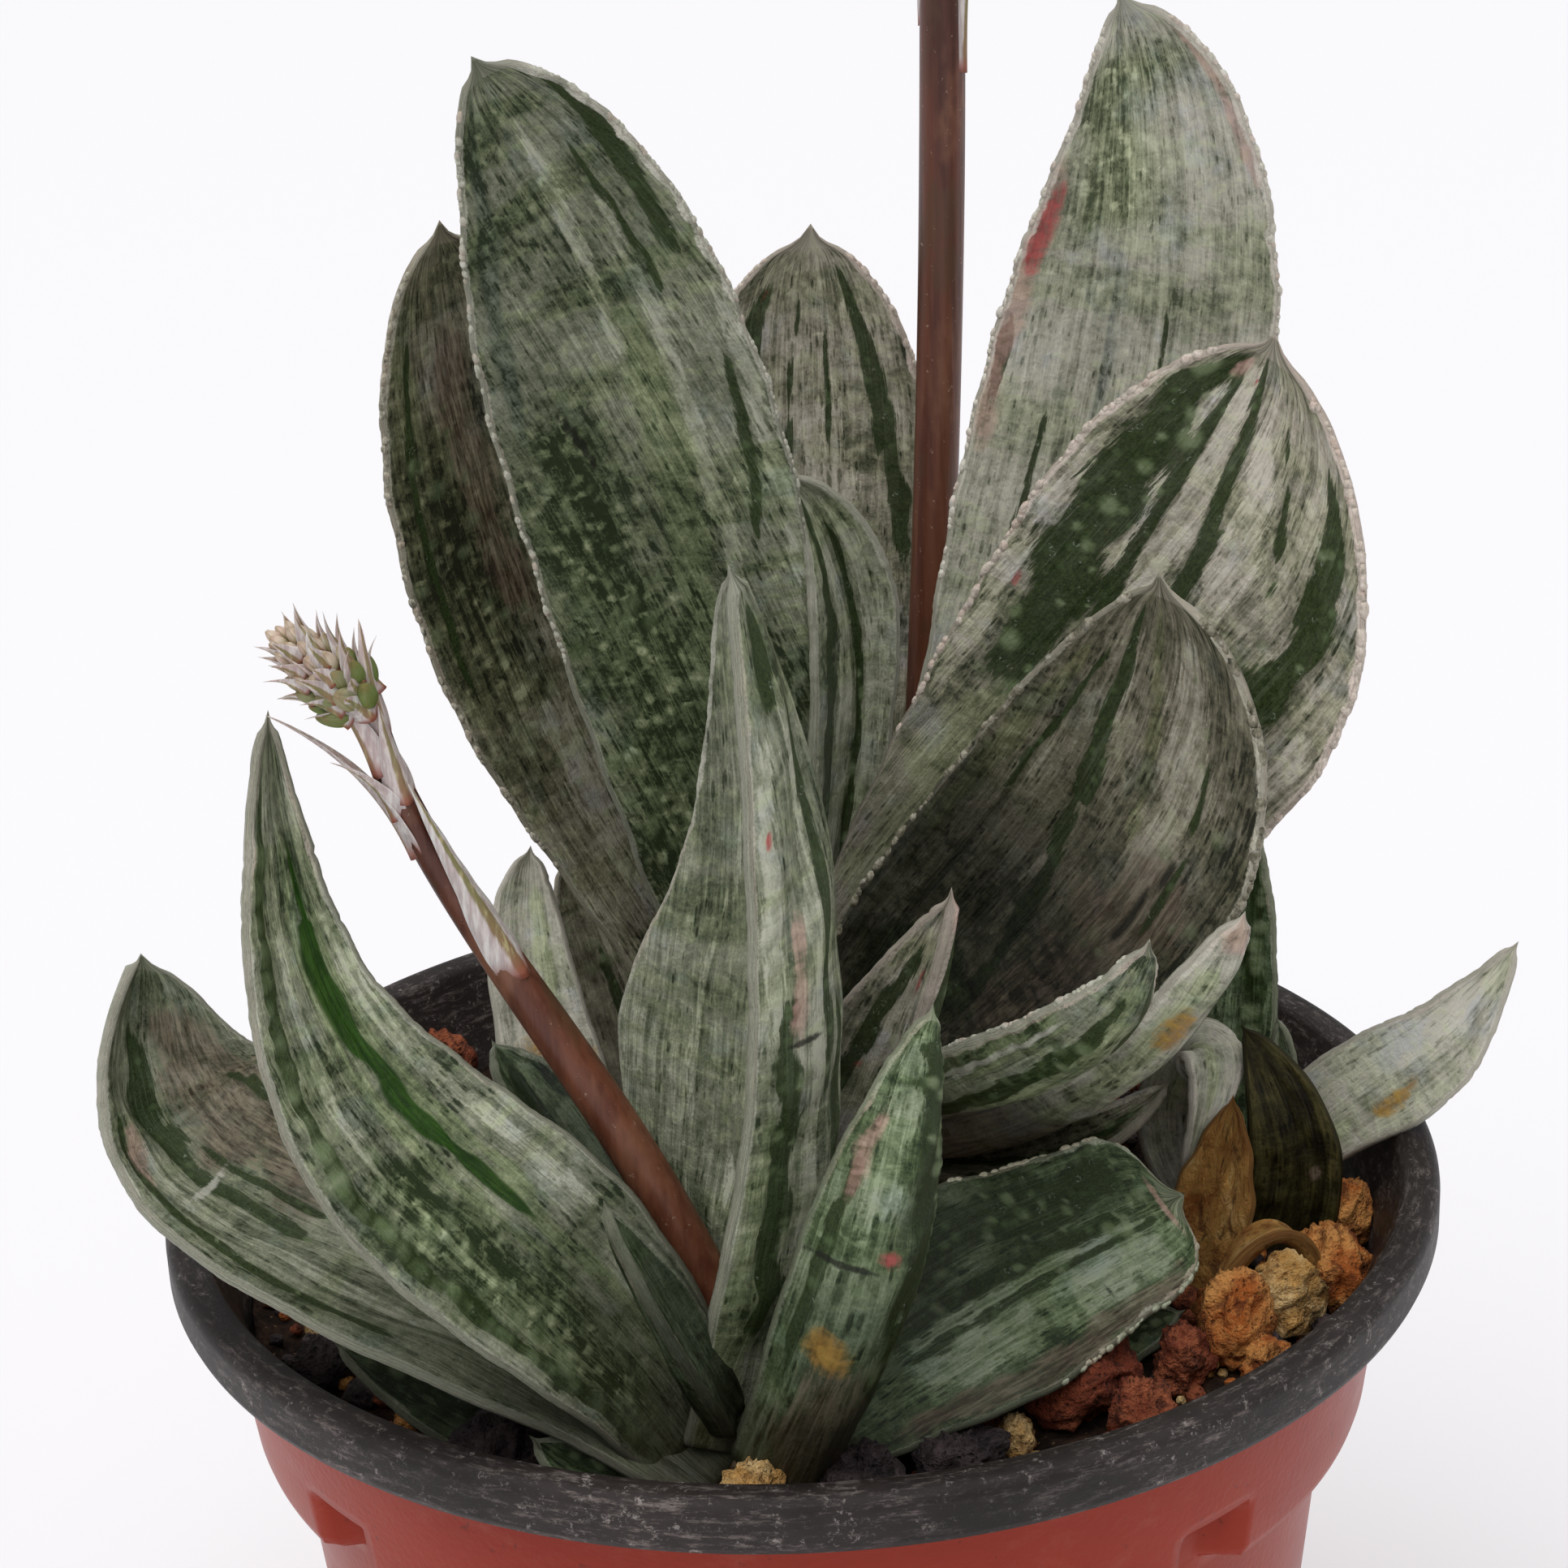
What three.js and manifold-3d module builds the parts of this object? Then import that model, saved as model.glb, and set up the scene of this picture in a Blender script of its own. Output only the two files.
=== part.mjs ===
// Gasteria in its nursery pot. Units are millimetres, +Z is up.
// The origin is the centre of the pot's underside, on the surface the pot stands on.
import * as THREE from 'three';
import { mergeVertices } from 'three/addons/utils/BufferGeometryUtils.js';
import Module from 'manifold-3d';

const wasm = await Module();
wasm.setup();
const { Manifold, Mesh } = wasm;

// ---- driving dimensions ----
const POT_HEIGHT = 104;
const RIM_RADIUS = 60;
const RIM_WIDTH = 3.6;
const RIM_DROP = 5;
const COLLAR_TOP_RADIUS = 55.6;
const COLLAR_FOOT_RADIUS = 53.5;
const COLLAR_DROP = 22;
const WALL_TOP_RADIUS = 50.2;
const BASE_RADIUS = 42;
const BASE_BEVEL = 1.5;
const WALL = 1.3;
const FLOOR = 2;
const COLLAR_SLOPE = 0.6;
const RIM_BEVEL = 0.8;
const LIP_ROUND = 1.3;
const NOTCH_DROP = 17;
const NOTCH_ROOF = 1.6;
const NOTCH_EASE = 0.3;
const NOTCH_COUNT = 8;
const NOTCH_FIRST_DEG = -50.5;
const NOTCH_HALF_DEG = 2.6;
const NOTCH_FLANK_DEG = 1.4;
const LEDGE_DROP = 14;
const LEDGE_SLOPE = 2;
const DRAIN_RING_RADIUS = 27;
const DRAIN_RADIUS = 4;
const DRAIN_COUNT = 6;
const DRAIN_SIDES = 12;

const SOIL_DROP = 9;
const BED_DROP = 1.5;
const GAP = 0.3;
const SOIL_Z = POT_HEIGHT - SOIL_DROP;

const EDGE = 0.9;
const FOLD_CURVE = 1.25;

// ---- leaves ----
// Every place is counted from the centre of the soil's surface. path runs from the
// leaf's foot to its tip. face is the way the inner side looks, at the foot and the tip.
// left and right are half widths from foot to tip, as seen looking at the inner side
// with the tip up. fold is how far each half rises from flat, in degrees, left and right.
// thick is the thickness along the middle. round is where the blade starts to close, how
// flatly and how bluntly. wave is the margin's ripple and its number of waves.
const BLUNT = [0.55, 3, 0.5];
const OVAL = [0.6, 3, 0.55];
const SHARP = [0.6, 2.4, 0.55];
const STOUT = [5, 4.5, 4, 3, 1.6];
const FLESHY = [4, 4, 3.5, 2.6, 1.4];
const SLIM = [3, 3, 2.5, 2, 1.2];
const PAPERY = [1.6, 1.6, 1.5, 1.4, 1.2];

const LEAVES = [
  {
    name: 'front_leaf_centre', rows: 14, cols: 5,
    path: [[-7, -40, 2.5], [-1, -36, 21.5], [2, -35, 47], [-3, -38, 79]],
    face: [[-0.9, -0.3, 0], [-0.95, -0.3, 0]],
    left: [5, 14, 20, 12, 6], right: [7, 10, 10, 9, 5],
    fold: [35, 50], thick: FLESHY, round: [0.62, 2.8, 0.5], wave: [0.3, 9],
  },
  {
    name: 'front_leaf_finger', rows: 10, cols: 5,
    path: [[-2, -45.5, 2.5], [5, -49, 22.5], [8.5, -46, 34], [11, -42, 42.5]],
    face: [[-0.3, 1, 0.2]],
    left: [5, 6, 5.5, 3.5, 2], right: [5, 6, 5.5, 3.5, 2],
    fold: [25, 25], thick: FLESHY, round: SHARP, wave: [0.2, 5],
  },
  {
    name: 'front_leaf_arched', rows: 14, cols: 5,
    path: [[-9.5, -41.5, 5], [-24.5, -40, 25.5], [-36.3, -37, 40.5], [-42, -27, 64.5]],
    face: [[0.2, -1, 0.9], [0.7, -0.9, 0.4]],
    left: [7, 12, 13, 9, 4.5], right: [5, 8, 6.5, 3.5, 2.2],
    fold: [25, 25], thick: FLESHY, round: SHARP, wave: [0.3, 9],
  },
  {
    name: 'front_leaf_low_left', rows: 14, cols: 5,
    path: [[-8, -44, 1.5], [-34, -33.5, 15], [-54, -25.5, 23], [-56.5, -20, 40.5]],
    face: [[0.2, -0.7, 1], [0.9, -0.6, 0.5]],
    left: [6, 11, 10, 7.5, 4], right: [6, 11, 14, 15.5, 13],
    fold: [30, 30], thick: FLESHY, round: BLUNT, wave: [0.4, 7],
  },
  {
    name: 'front_leaf_low_right', rows: 12, cols: 5,
    path: [[-2, -43, 2], [8.5, -35, 7.5], [21.5, -26, 10], [33, -18, 11]],
    face: [[-0.1, -0.8, 0.8]],
    left: [4, 8.5, 10.5, 8.5, 8], right: [4, 8, 10.2, 8.6, 7],
    fold: [10, 10], thick: STOUT, round: [0.74, 4.5, 0.38], wave: [0.3, 6],
  },
  {
    name: 'front_leaf_inner_right', rows: 9, cols: 5,
    path: [[-3, -35, 3], [3, -29, 17], [9, -27.5, 31.5], [13.5, -30, 47]],
    face: [[-0.8, -0.6, 0.2]],
    left: [5, 8, 9, 6, 3], right: [3, 4, 4, 3, 2],
    fold: [35, 40], thick: FLESHY, round: SHARP, wave: [0.2, 6],
  },
  {
    name: 'front_leaf_under_stalk', rows: 9, cols: 5,
    path: [[-8, -40, 5], [-14, -34.5, 16.5], [-21, -25.5, 24.5], [-26.5, -17, 29]],
    face: [[0.3, -0.6, 1]],
    left: [3, 4, 5, 4, 2], right: [4, 5, 5, 4, 2],
    fold: [30, 30], thick: SLIM, round: SHARP, wave: [0.2, 6],
  },
  {
    name: 'front_leaf_young', rows: 6, cols: 5,
    path: [[-7, -44, 7], [-11.5, -46.5, 19], [-15.7, -46, 28.3]],
    face: [[0.5, -0.6, 1]],
    left: [2, 2.5, 2.5, 1.8, 1], right: [2, 2.5, 2.5, 1.8, 1],
    fold: [30, 30], thick: SLIM, round: SHARP, wave: [0, 1],
  },
  {
    name: 'front_leaf_buried_left', rows: 6, cols: 5,
    path: [[-16, -38.5, -2], [-28, -35, 1], [-41, -28.5, 6]],
    face: [[0.1, -0.5, 1]],
    left: [3, 3, 3.4, 2.6, 1.6], right: [3, 3, 3.4, 2.6, 1.6],
    fold: [15, 15], thick: SLIM, round: SHARP, wave: [0, 1],
  },
  {
    name: 'front_leaf_at_rim', rows: 6, cols: 5,
    path: [[-9, -47, -1], [-16, -47.5, 2.5], [-23, -44, 5.5]],
    face: [[0.1, -0.6, 1]],
    left: [3, 3, 3, 2.4, 1.5], right: [3, 3, 3, 2.4, 1.5],
    fold: [15, 15], thick: SLIM, round: SHARP, wave: [0, 1],
  },
  {
    name: 'rear_leaf_broad_front', rows: 13, cols: 5,
    path: [[5, 14, 8], [16, 5, 27], [27, -2.5, 45], [33, -10, 67]],
    face: [[-0.3, -1, 0.6]],
    left: [6, 10, 11, 10, 8], right: [8, 16, 20.5, 19.5, 16],
    fold: [15, 15], thick: STOUT, round: OVAL, wave: [0.4, 8],
  },
  {
    name: 'rear_leaf_spotted', rows: 14, cols: 5,
    path: [[4, 17, 9], [18, 12.5, 35], [33, 7, 60], [44, 0, 85]],
    face: [[-0.4, -1, 0.5]],
    left: [7, 10, 12.5, 13, 11], right: [7, 14.5, 23, 25, 18.5],
    fold: [12, 15], thick: STOUT, round: OVAL, wave: [0.4, 9],
  },
  {
    name: 'rear_leaf_tall_left', rows: 15, cols: 5,
    path: [[-3, 20, 9], [-10.5, 20.5, 44], [-15.5, 17.5, 79], [-23.5, 4, 111.5]],
    face: [[0.35, -1, 0.3], [0.25, -1, 0.1]],
    left: [4, 7, 10, 11, 8], right: [8, 13, 16, 14, 11],
    fold: [10, 14], thick: STOUT, round: BLUNT, wave: [0.4, 11],
  },
  {
    name: 'rear_leaf_tall_right', rows: 15, cols: 5,
    path: [[8, 19, 11], [24, 22.5, 45.5], [33.5, 23, 80], [32.5, 14, 113]],
    face: [[-0.1, -1, 0.2]],
    left: [6, 9, 12.5, 11, 4.5], right: [7, 12, 15, 14, 12],
    fold: [12, 12], thick: STOUT, round: BLUNT, wave: [0.4, 11],
  },
  {
    name: 'rear_leaf_low_front', rows: 10, cols: 5,
    path: [[5, 13, 5], [10, -8, 18], [21, -23.5, 28.5], [30, -28, 41]],
    face: [[-0.3, 1, 0.2]],
    left: [5, 5.5, 5.5, 5, 3], right: [5, 5.5, 5.5, 5, 3],
    fold: [15, 15], thick: FLESHY, round: BLUNT, wave: [0.4, 5],
  },
  {
    name: 'rear_leaf_low_finger', rows: 8, cols: 5,
    path: [[8, 9, 5], [27, -13.5, 21.5], [39, -21, 40]],
    face: [[-0.5, 0.8, 0.3]],
    left: [4, 4, 3.8, 3.6, 2.5], right: [4, 4, 3.8, 3.6, 2.5],
    fold: [15, 15], thick: FLESHY, round: [0.72, 4, 0.45], wave: [0.3, 5],
  },
  {
    name: 'rear_leaf_low_dark', rows: 6, cols: 5,
    path: [[9, 13, 2], [22, -4, 8.5], [34.5, -3, 15]],
    face: [[-0.3, -0.6, 1]],
    left: [2.5, 3, 3, 2.4, 1.5], right: [2.5, 3, 3, 2.4, 1.5],
    fold: [25, 25], thick: SLIM, round: SHARP, wave: [0, 1],
  },
  {
    name: 'rear_leaf_behind_left', rows: 13, cols: 5,
    path: [[-3, 23, 8], [-18, 30, 35], [-27, 31, 64], [-30, 26, 92.5]],
    face: [[0.5, -1, 0.3]],
    left: [6, 9, 12.5, 12, 10], right: [8, 11, 13, 12, 10],
    fold: [15, 15], thick: STOUT, round: BLUNT, wave: [0.4, 10],
  },
  {
    name: 'rear_leaf_back', rows: 13, cols: 5,
    path: [[3, 25, 8], [3.5, 36, 34], [4.5, 42, 60], [5, 42, 87]],
    face: [[0, -1, 0.5]],
    left: [6, 8, 11, 13, 14], right: [6, 9, 12, 12.5, 11],
    fold: [15, 15], thick: STOUT, round: BLUNT, wave: [0.4, 9],
  },
  {
    name: 'rear_leaf_folded', rows: 10, cols: 5,
    path: [[1, 23, 12], [5.5, 25, 33], [7, 26, 52], [2, 22, 68.5]],
    face: [[0.5, -1, 0]],
    left: [4, 6.5, 8, 7, 4], right: [3, 3.5, 4, 5, 5],
    fold: [35, 35], thick: FLESHY, round: SHARP, wave: [0.2, 7],
  },
  {
    name: 'right_leaf_over_rim', rows: 8, cols: 5,
    path: [[44, 5, -1], [52, 2.5, 10], [59, 1, 16.5], [67.5, 0, 26.5]],
    face: [[-0.2, -1, 0.6]],
    left: [3, 4, 3.8, 2.4, 1.2], right: [3.5, 4.5, 6, 5.5, 3],
    fold: [12, 12], thick: SLIM, round: SHARP, wave: [0.2, 4],
  },
  {
    name: 'right_leaf_broad_short', rows: 7, cols: 5,
    path: [[44, -5, -4], [46.5, -6, 9], [42, -4, 21]],
    face: [[-0.1, -1, 0.3]],
    left: [5, 5.5, 4.5, 3.5, 2], right: [3.5, 4, 4, 3, 2],
    fold: [12, 12], thick: SLIM, round: SHARP, wave: [0.2, 4],
  },
  {
    name: 'right_leaf_curled', rows: 9, cols: 5,
    path: [[38, 1, 0], [35.5, 1, 12], [38.5, -3, 18.5], [36, -6.5, 8]],
    face: [[0, -0.3, 1], [0.5, -1, 0.3]],
    left: [2, 2.8, 3, 3, 2], right: [2, 2.8, 3, 3, 2],
    fold: [10, 10], thick: SLIM, round: SHARP, wave: [0, 1],
  },
  {
    name: 'right_leaf_rear', rows: 7, cols: 5,
    path: [[41, 6, -2], [44, 16, 14], [46.5, 23, 30.5]],
    face: [[-0.3, -1, 0.3]],
    left: [4, 5, 5, 4, 2], right: [4, 4.5, 4, 3, 1.5],
    fold: [15, 15], thick: SLIM, round: SHARP, wave: [0.2, 4],
  },
  {
    name: 'right_leaf_bud', rows: 5, cols: 5,
    path: [[46, 6, 0], [47.5, 8, 8], [47, 8.5, 15.5]],
    face: [[-0.3, -1, 1]],
    left: [2, 2, 1.8, 1.2, 0.8], right: [2, 2, 1.8, 1.2, 0.8],
    fold: [20, 20], thick: [2, 2, 1.8, 1.5, 1.2], round: SHARP, wave: [0, 1],
  },
  {
    name: 'right_dry_leaf', rows: 9, cols: 5,
    path: [[35, -11.5, -3], [38, -10, 5], [40.5, -6, 14.5]],
    face: [[-0.4, -1, 0.3]],
    left: [4, 4.5, 4, 3, 2], right: [4, 4.5, 4, 3, 2],
    fold: [10, 10], thick: PAPERY, round: SHARP, wave: [0.5, 5],
  },
  {
    name: 'right_dry_scrap', rows: 7, cols: 3,
    path: [[36.5, -19, -1], [40.5, -18, 6.5], [44.5, -17, 6.5], [47, -16.5, 1]],
    face: [[0, 0.2, 1]],
    left: [1.5, 1.8, 1.8, 1.4, 1], right: [1.5, 1.8, 1.8, 1.4, 1],
    fold: [10, 10], thick: PAPERY, round: SHARP, wave: [0, 1],
  },
  {
    name: 'right_leaf_sprout', rows: 5, cols: 5,
    path: [[23, -25, -3], [28.5, -23, 0], [33.5, -20.5, 1]],
    face: [[0, -0.6, 1]],
    left: [2.2, 2.4, 2.4, 2, 1], right: [2.2, 2.4, 2.4, 2, 1],
    fold: [15, 15], thick: [2.5, 2.5, 2.2, 1.8, 1.2], round: SHARP, wave: [0, 1],
  },
  {
    name: 'left_leaf_pale', rows: 8, cols: 5,
    path: [[-22, 20, -1], [-26, 23.5, 14], [-26, 28, 28.5]],
    face: [[0.1, -1, 0.5]],
    left: [4, 5, 4.5, 4, 3], right: [4, 5, 4.5, 3.5, 2.5],
    fold: [15, 15], thick: SLIM, round: BLUNT, wave: [0.2, 4],
  },
  {
    name: 'left_leaf_shaded', rows: 7, cols: 5,
    path: [[-16, 25, -1], [-20, 33, 13], [-23.5, 37, 23]],
    face: [[0.3, -1, 0.5]],
    left: [4, 4.5, 4, 3, 2], right: [4, 4.5, 4, 3, 2],
    fold: [15, 15], thick: SLIM, round: SHARP, wave: [0.2, 4],
  },
];

// ---- short stems that the leaves grow from ----
const CROWNS = [
  { name: 'front_crown', at: [-5, -41], radius: 4.5, foot: -7, top: 4 },
  { name: 'rear_crown', at: [3, 20], radius: 6, foot: -7, top: 12 },
  { name: 'right_crown', at: [41, 1], radius: 3.5, foot: -7, top: 0.5 },
  { name: 'left_crown', at: [-19, 22], radius: 3.5, foot: -7, top: 0.5 },
];
const CROWN_SIDES = 10;

// ---- flower stalks and heads, from the soil's centre ----
const TALL_STALK = {
  name: 'tall_flower_stalk',
  path: [[12, 27, 6], [15.5, 32, 52], [17.5, 32, 96], [18, 31.5, 138]],
  radius: [2.4, 2.25, 2.2, 2.15, 1.8],
  rows: 8,
  bracts: [
    { s: 0.775, turn: -25, length: 13, width: 3.4, lift: 8 },
    { s: 0.742, turn: 155, length: 14, width: 3.2, lift: 4 },
    { s: 0.9, turn: 60, length: 12, width: 3, lift: 12 },
  ],
};
// How far on along its stalk a bract points, as a share of the stalk.
const BRACT_SIGHT = 0.22;
const YOUNG_STALK = {
  name: 'young_flower_stalk',
  path: [[-6, -37.5, 10], [-16.4, -33.5, 31.7], [-26.8, -32, 50], [-32.8, -32, 66.2]],
  radius: [2.1, 2, 1.8, 1.45, 1.2],
  rows: 8,
  bracts: [
    { s: 0.55, turn: 140, length: 18.5, width: 3.4, lift: 3 },
    { s: 0.77, turn: 10, length: 16, width: 2.8, lift: 19 },
    { s: 0.84, turn: 40, length: 7, width: 2.4, lift: 23 },
    { s: 0.865, turn: 122, length: 8.5, width: 2.6, lift: 8 },
    { s: 0.92, turn: 45, length: 12.5, width: 2.8, lift: 17 },
    { s: 0.98, turn: 132, length: 10, width: 2.6, lift: 4 },
  ],
};
const YOUNG_HEAD = {
  name: 'young_bud_head',
  axis: [[-32.8, -32, 66.8], [-35.9, -32.7, 70.3], [-38.6, -33.2, 73.5]],
  core: [1.3, 2.1, 1],
  buds: 14, budLength: 3.8, budWidth: 2.2, lean: [58, 14], from: 0.08,
  bracts: 9, bractLength: 5.2, bractWidth: 2,
};
const TALL_HEAD = {
  name: 'tall_bud_head',
  axis: [[18, 31.5, 138.6], [18.2, 31.3, 151], [18.2, 31.2, 163]],
  core: [1.6, 1.6, 0.8],
  buds: 14, budLength: 6.5, budWidth: 2.4, lean: [115, 35], from: 0.06,
  bracts: 7, bractLength: 7, bractWidth: 2,
};

// ---- gravel lying in the soil: place, size across, height and turn ----
const STONES = [
  [23.5, -32, 11, 8, 20], [-5, -49, 5.8, 7.5, 10], [17.5, -38.5, 3.6, 3.4, 70],
  [4, -46.5, 7.5, 6, 30], [12.5, -42.5, 9, 5, 5], [-27, -38.5, 9, 6.5, 50],
  [-38, 36, 7.5, 6, 15], [43.5, -20, 8, 7, 40], [48.5, -15, 8, 6.5, 100],
  [38.5, -23.5, 8.5, 7, 75], [51, -4.5, 6.5, 6, 25], [33, -28.5, 6.5, 5, 60],
  [28.5, -37, 6.5, 5, 85], [40.5, -29.5, 5, 4, 35], [-44, -22, 6, 4, 30],
  [10, 48, 7, 5, 20], [27, 44, 8, 5.5, 75], [-12, 47, 6.5, 5, 40],
  [-48, 16, 7, 5, 55], [-44, -6, 7.5, 5, 25], [38, 32, 7, 5, 60],
  [-34, 6, 6.5, 4.5, 70],
];

const STONE_SIDES = 5;
const STONE_SUNK = 2.2;
const STONE_FLAT = 0.85;
const STONE_REACH = 9;
const STONE_RINGS = [[0.35, 1], [0.9, 0.6]];
const GROUND_RADII = [38, 18];

const DEG = Math.PI / 180;

// ---- small vector helpers ----
const add = (a, b, k = 1) => [a[0] + b[0] * k, a[1] + b[1] * k, a[2] + b[2] * k];
const dot = (a, b) => a[0] * b[0] + a[1] * b[1] + a[2] * b[2];
const cross = (a, b) => [
  a[1] * b[2] - a[2] * b[1],
  a[2] * b[0] - a[0] * b[2],
  a[0] * b[1] - a[1] * b[0],
];
const unit = (a) => {
  const n = Math.hypot(a[0], a[1], a[2]);
  return [a[0] / n, a[1] / n, a[2] / n];
};

// Smooth run through evenly spaced values.
function along(values, s) {
  const n = values.length - 1;
  const x = Math.min(Math.max(s, 0), 1) * n;
  const i = Math.min(Math.floor(x), n - 1);
  const f = x - i;
  const b = values[i];
  const c = values[i + 1];
  const a = i > 0 ? values[i - 1] : 2 * b - c;
  const d = i + 2 <= n ? values[i + 2] : 2 * c - b;
  const cubic = f * (3 * (b - c) + d - a);
  return b + 0.5 * f * (c - a + f * (2 * a - 5 * b + 4 * c - d + cubic));
}

// Point and direction on the smooth curve through evenly spaced points, which are
// counted from the soil's centre: the point comes back counted from the pot's foot.
function onPath(points, s) {
  const n = points.length;
  const at = [0, 0, SOIL_Z];
  const way = [0, 0, 0];
  for (let i = 0; i < n; i += 1) {
    let weight = 1;
    let slope = 0;
    for (let j = 0; j < n; j += 1) {
      if (j === i) continue;
      weight *= (s * (n - 1) - j) / (i - j);
      let term = 1 / (i - j);
      for (let k = 0; k < n; k += 1) {
        if (k !== i && k !== j) term *= (s * (n - 1) - k) / (i - k);
      }
      slope += term;
    }
    for (let k = 0; k < 3; k += 1) {
      at[k] += weight * points[i][k];
      way[k] += slope * points[i][k];
    }
  }
  return { at, way: unit(way) };
}

// Closed solid from rings of equal length, with a point or a flat cap at each end.
function skin(rings, start, end) {
  const count = rings[0].length;
  const verts = rings.flat();
  const tris = [];
  for (let r = 0; r + 1 < rings.length; r += 1) {
    for (let i = 0; i < count; i += 1) {
      const j = (i + 1) % count;
      const a = r * count + i;
      const b = r * count + j;
      tris.push([a, b, b + count], [a, b + count, a + count]);
    }
  }
  const last = (rings.length - 1) * count;
  const first = verts.length;
  verts.push(start, end);
  for (let i = 0; i < count; i += 1) {
    const j = (i + 1) % count;
    tris.push([first, j, i], [first + 1, last + i, last + j]);
  }
  return solid(verts, tris);
}

function solid(verts, tris) {
  const mesh = new Mesh({
    numProp: 3,
    vertProperties: new Float32Array(verts.flat()),
    triVerts: new Uint32Array(tris.flat()),
  });
  mesh.merge();
  const body = new Manifold(mesh);
  if (body.volume() >= 0) return body;
  return solid(verts, tris.map(([a, b, c]) => [a, c, b]));
}

function fromGeometry(geometry) {
  geometry.deleteAttribute('normal');
  geometry.deleteAttribute('uv');
  const merged = mergeVertices(geometry, 1e-4);
  return new Manifold(new Mesh({
    numProp: 3,
    vertProperties: new Float32Array(merged.attributes.position.array),
    triVerts: new Uint32Array(merged.index.array),
  }));
}

// ---- leaves ----
function bladeFrame(leaf, s) {
  const { at, way } = onPath(leaf.path, s);
  const from = unit(leaf.face[0]);
  const to = unit(leaf.face[leaf.face.length - 1]);
  const look = add([from[0] * (1 - s), from[1] * (1 - s), from[2] * (1 - s)], to, s);
  const up = unit(add(look, way, -dot(look, way)));
  return { at, way, up, side: cross(way, up) };
}

// A point on the blade: s from foot to tip, u from the left margin (-1) to the right one.
function bladePoint(leaf, s, u, inner, grow) {
  const { at, up, side } = bladeFrame(leaf, s);
  const [closeFrom, closePower, closeBlunt] = leaf.round;
  const a = Math.abs(u);
  const sign = Math.sign(u);
  const closing = Math.max(0, (s - closeFrom) / (1 - closeFrom));
  const taper = Math.max(0, 1 - closing ** closePower) ** closeBlunt;
  const [ripple, ripples] = leaf.wave;
  const wavy = ripple * a * Math.sin(2 * Math.PI * ripples * s + sign);
  const half = along(sign < 0 ? leaf.left : leaf.right, s) * taper + grow + wavy * taper;
  const fold = leaf.fold[sign < 0 ? 0 : 1] * DEG;
  const across = half * a * Math.cos(fold) * sign;
  const rise = half * a ** FOLD_CURVE * Math.sin(fold);
  const tilt = Math.min(1, a * 2) * fold * sign;
  const nearTip = Math.min(1, (1 - s) / 0.1);
  const middle = EDGE + (along(leaf.thick, s) - EDGE) * nearTip;
  const depth = EDGE + Math.max(0, middle - EDGE) * (1 - a * a);
  let lift = inner ? 0.3 * depth : -0.7 * depth;
  if (a === 1) lift = inner ? EDGE / 2 : -EDGE / 2;
  lift += inner ? grow : -grow;
  let p = add(at, side, across);
  p = add(p, up, rise + lift * Math.cos(tilt));
  return add(p, side, -lift * Math.sin(tilt));
}

function leafSolid(leaf, grow = 0) {
  const rings = [];
  for (let r = 0; r < leaf.rows; r += 1) {
    const s = 0.985 * (r / (leaf.rows - 1)) ** 0.85;
    const ring = [];
    for (let c = 0; c < leaf.cols; c += 1) {
      ring.push(bladePoint(leaf, s, (2 * c) / (leaf.cols - 1) - 1, true, grow));
    }
    for (let c = leaf.cols - 1; c >= 0; c -= 1) {
      ring.push(bladePoint(leaf, s, (2 * c) / (leaf.cols - 1) - 1, false, grow));
    }
    rings.push(ring);
  }
  const foot = onPath(leaf.path, 0);
  const tip = onPath(leaf.path, 1);
  return skin(rings, add(foot.at, foot.way, -grow - 0.5), add(tip.at, tip.way, 1 + grow));
}

// ---- round stems ----
function rod(path, radii, rows, sides, grow = 0) {
  const rings = [];
  for (let r = 0; r < rows; r += 1) {
    const s = r / (rows - 1);
    const { at, way } = onPath(path, s);
    const a = unit(cross(way, [0, 1, 0.2]));
    const b = cross(way, a);
    const radius = along(radii, s) + grow;
    const ring = [];
    for (let i = 0; i < sides; i += 1) {
      const t = (2 * Math.PI * i) / sides;
      ring.push(add(add(at, a, radius * Math.cos(t)), b, radius * Math.sin(t)));
    }
    rings.push(ring);
  }
  const foot = onPath(path, 0);
  const top = onPath(path, 1);
  return skin(rings, add(foot.at, foot.way, -grow), add(top.at, top.way, grow));
}

// Thin pointed blade standing off a stem: hugs it at the foot and leans out to the tip.
function bract(at, way, out, length, width, lean, inset) {
  const side = unit(cross(way, out));
  const rings = [];
  const steps = [0, 0.5];
  for (const s of steps) {
    const half = (width / 2) * (1 - s ** 2.2) + 0.25;
    const away = inset + length * s * Math.sin(lean * s);
    const middle = add(add(at, way, length * s * Math.cos(lean * s)), out, away);
    const ring = [];
    for (const u of [-1, 0, 1]) {
      ring.push(add(add(middle, side, half * u), out, -0.25 * Math.abs(u) * half));
    }
    for (const u of [1, 0, -1]) {
      ring.push(add(add(middle, side, half * u), out, -0.25 * Math.abs(u) * half - 0.7));
    }
    rings.push(ring);
  }
  const tip = add(add(at, way, length * Math.cos(lean)), out, inset + length * Math.sin(lean));
  return skin(rings, add(add(at, way, -0.4), out, inset - 0.4), tip);
}

function turned(way, degrees) {
  const a = unit(cross(way, [0, 1, 0.2]));
  const b = cross(way, a);
  return add([a[0] * Math.cos(degrees), a[1] * Math.cos(degrees), a[2] * Math.cos(degrees)],
    b, Math.sin(degrees));
}

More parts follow.
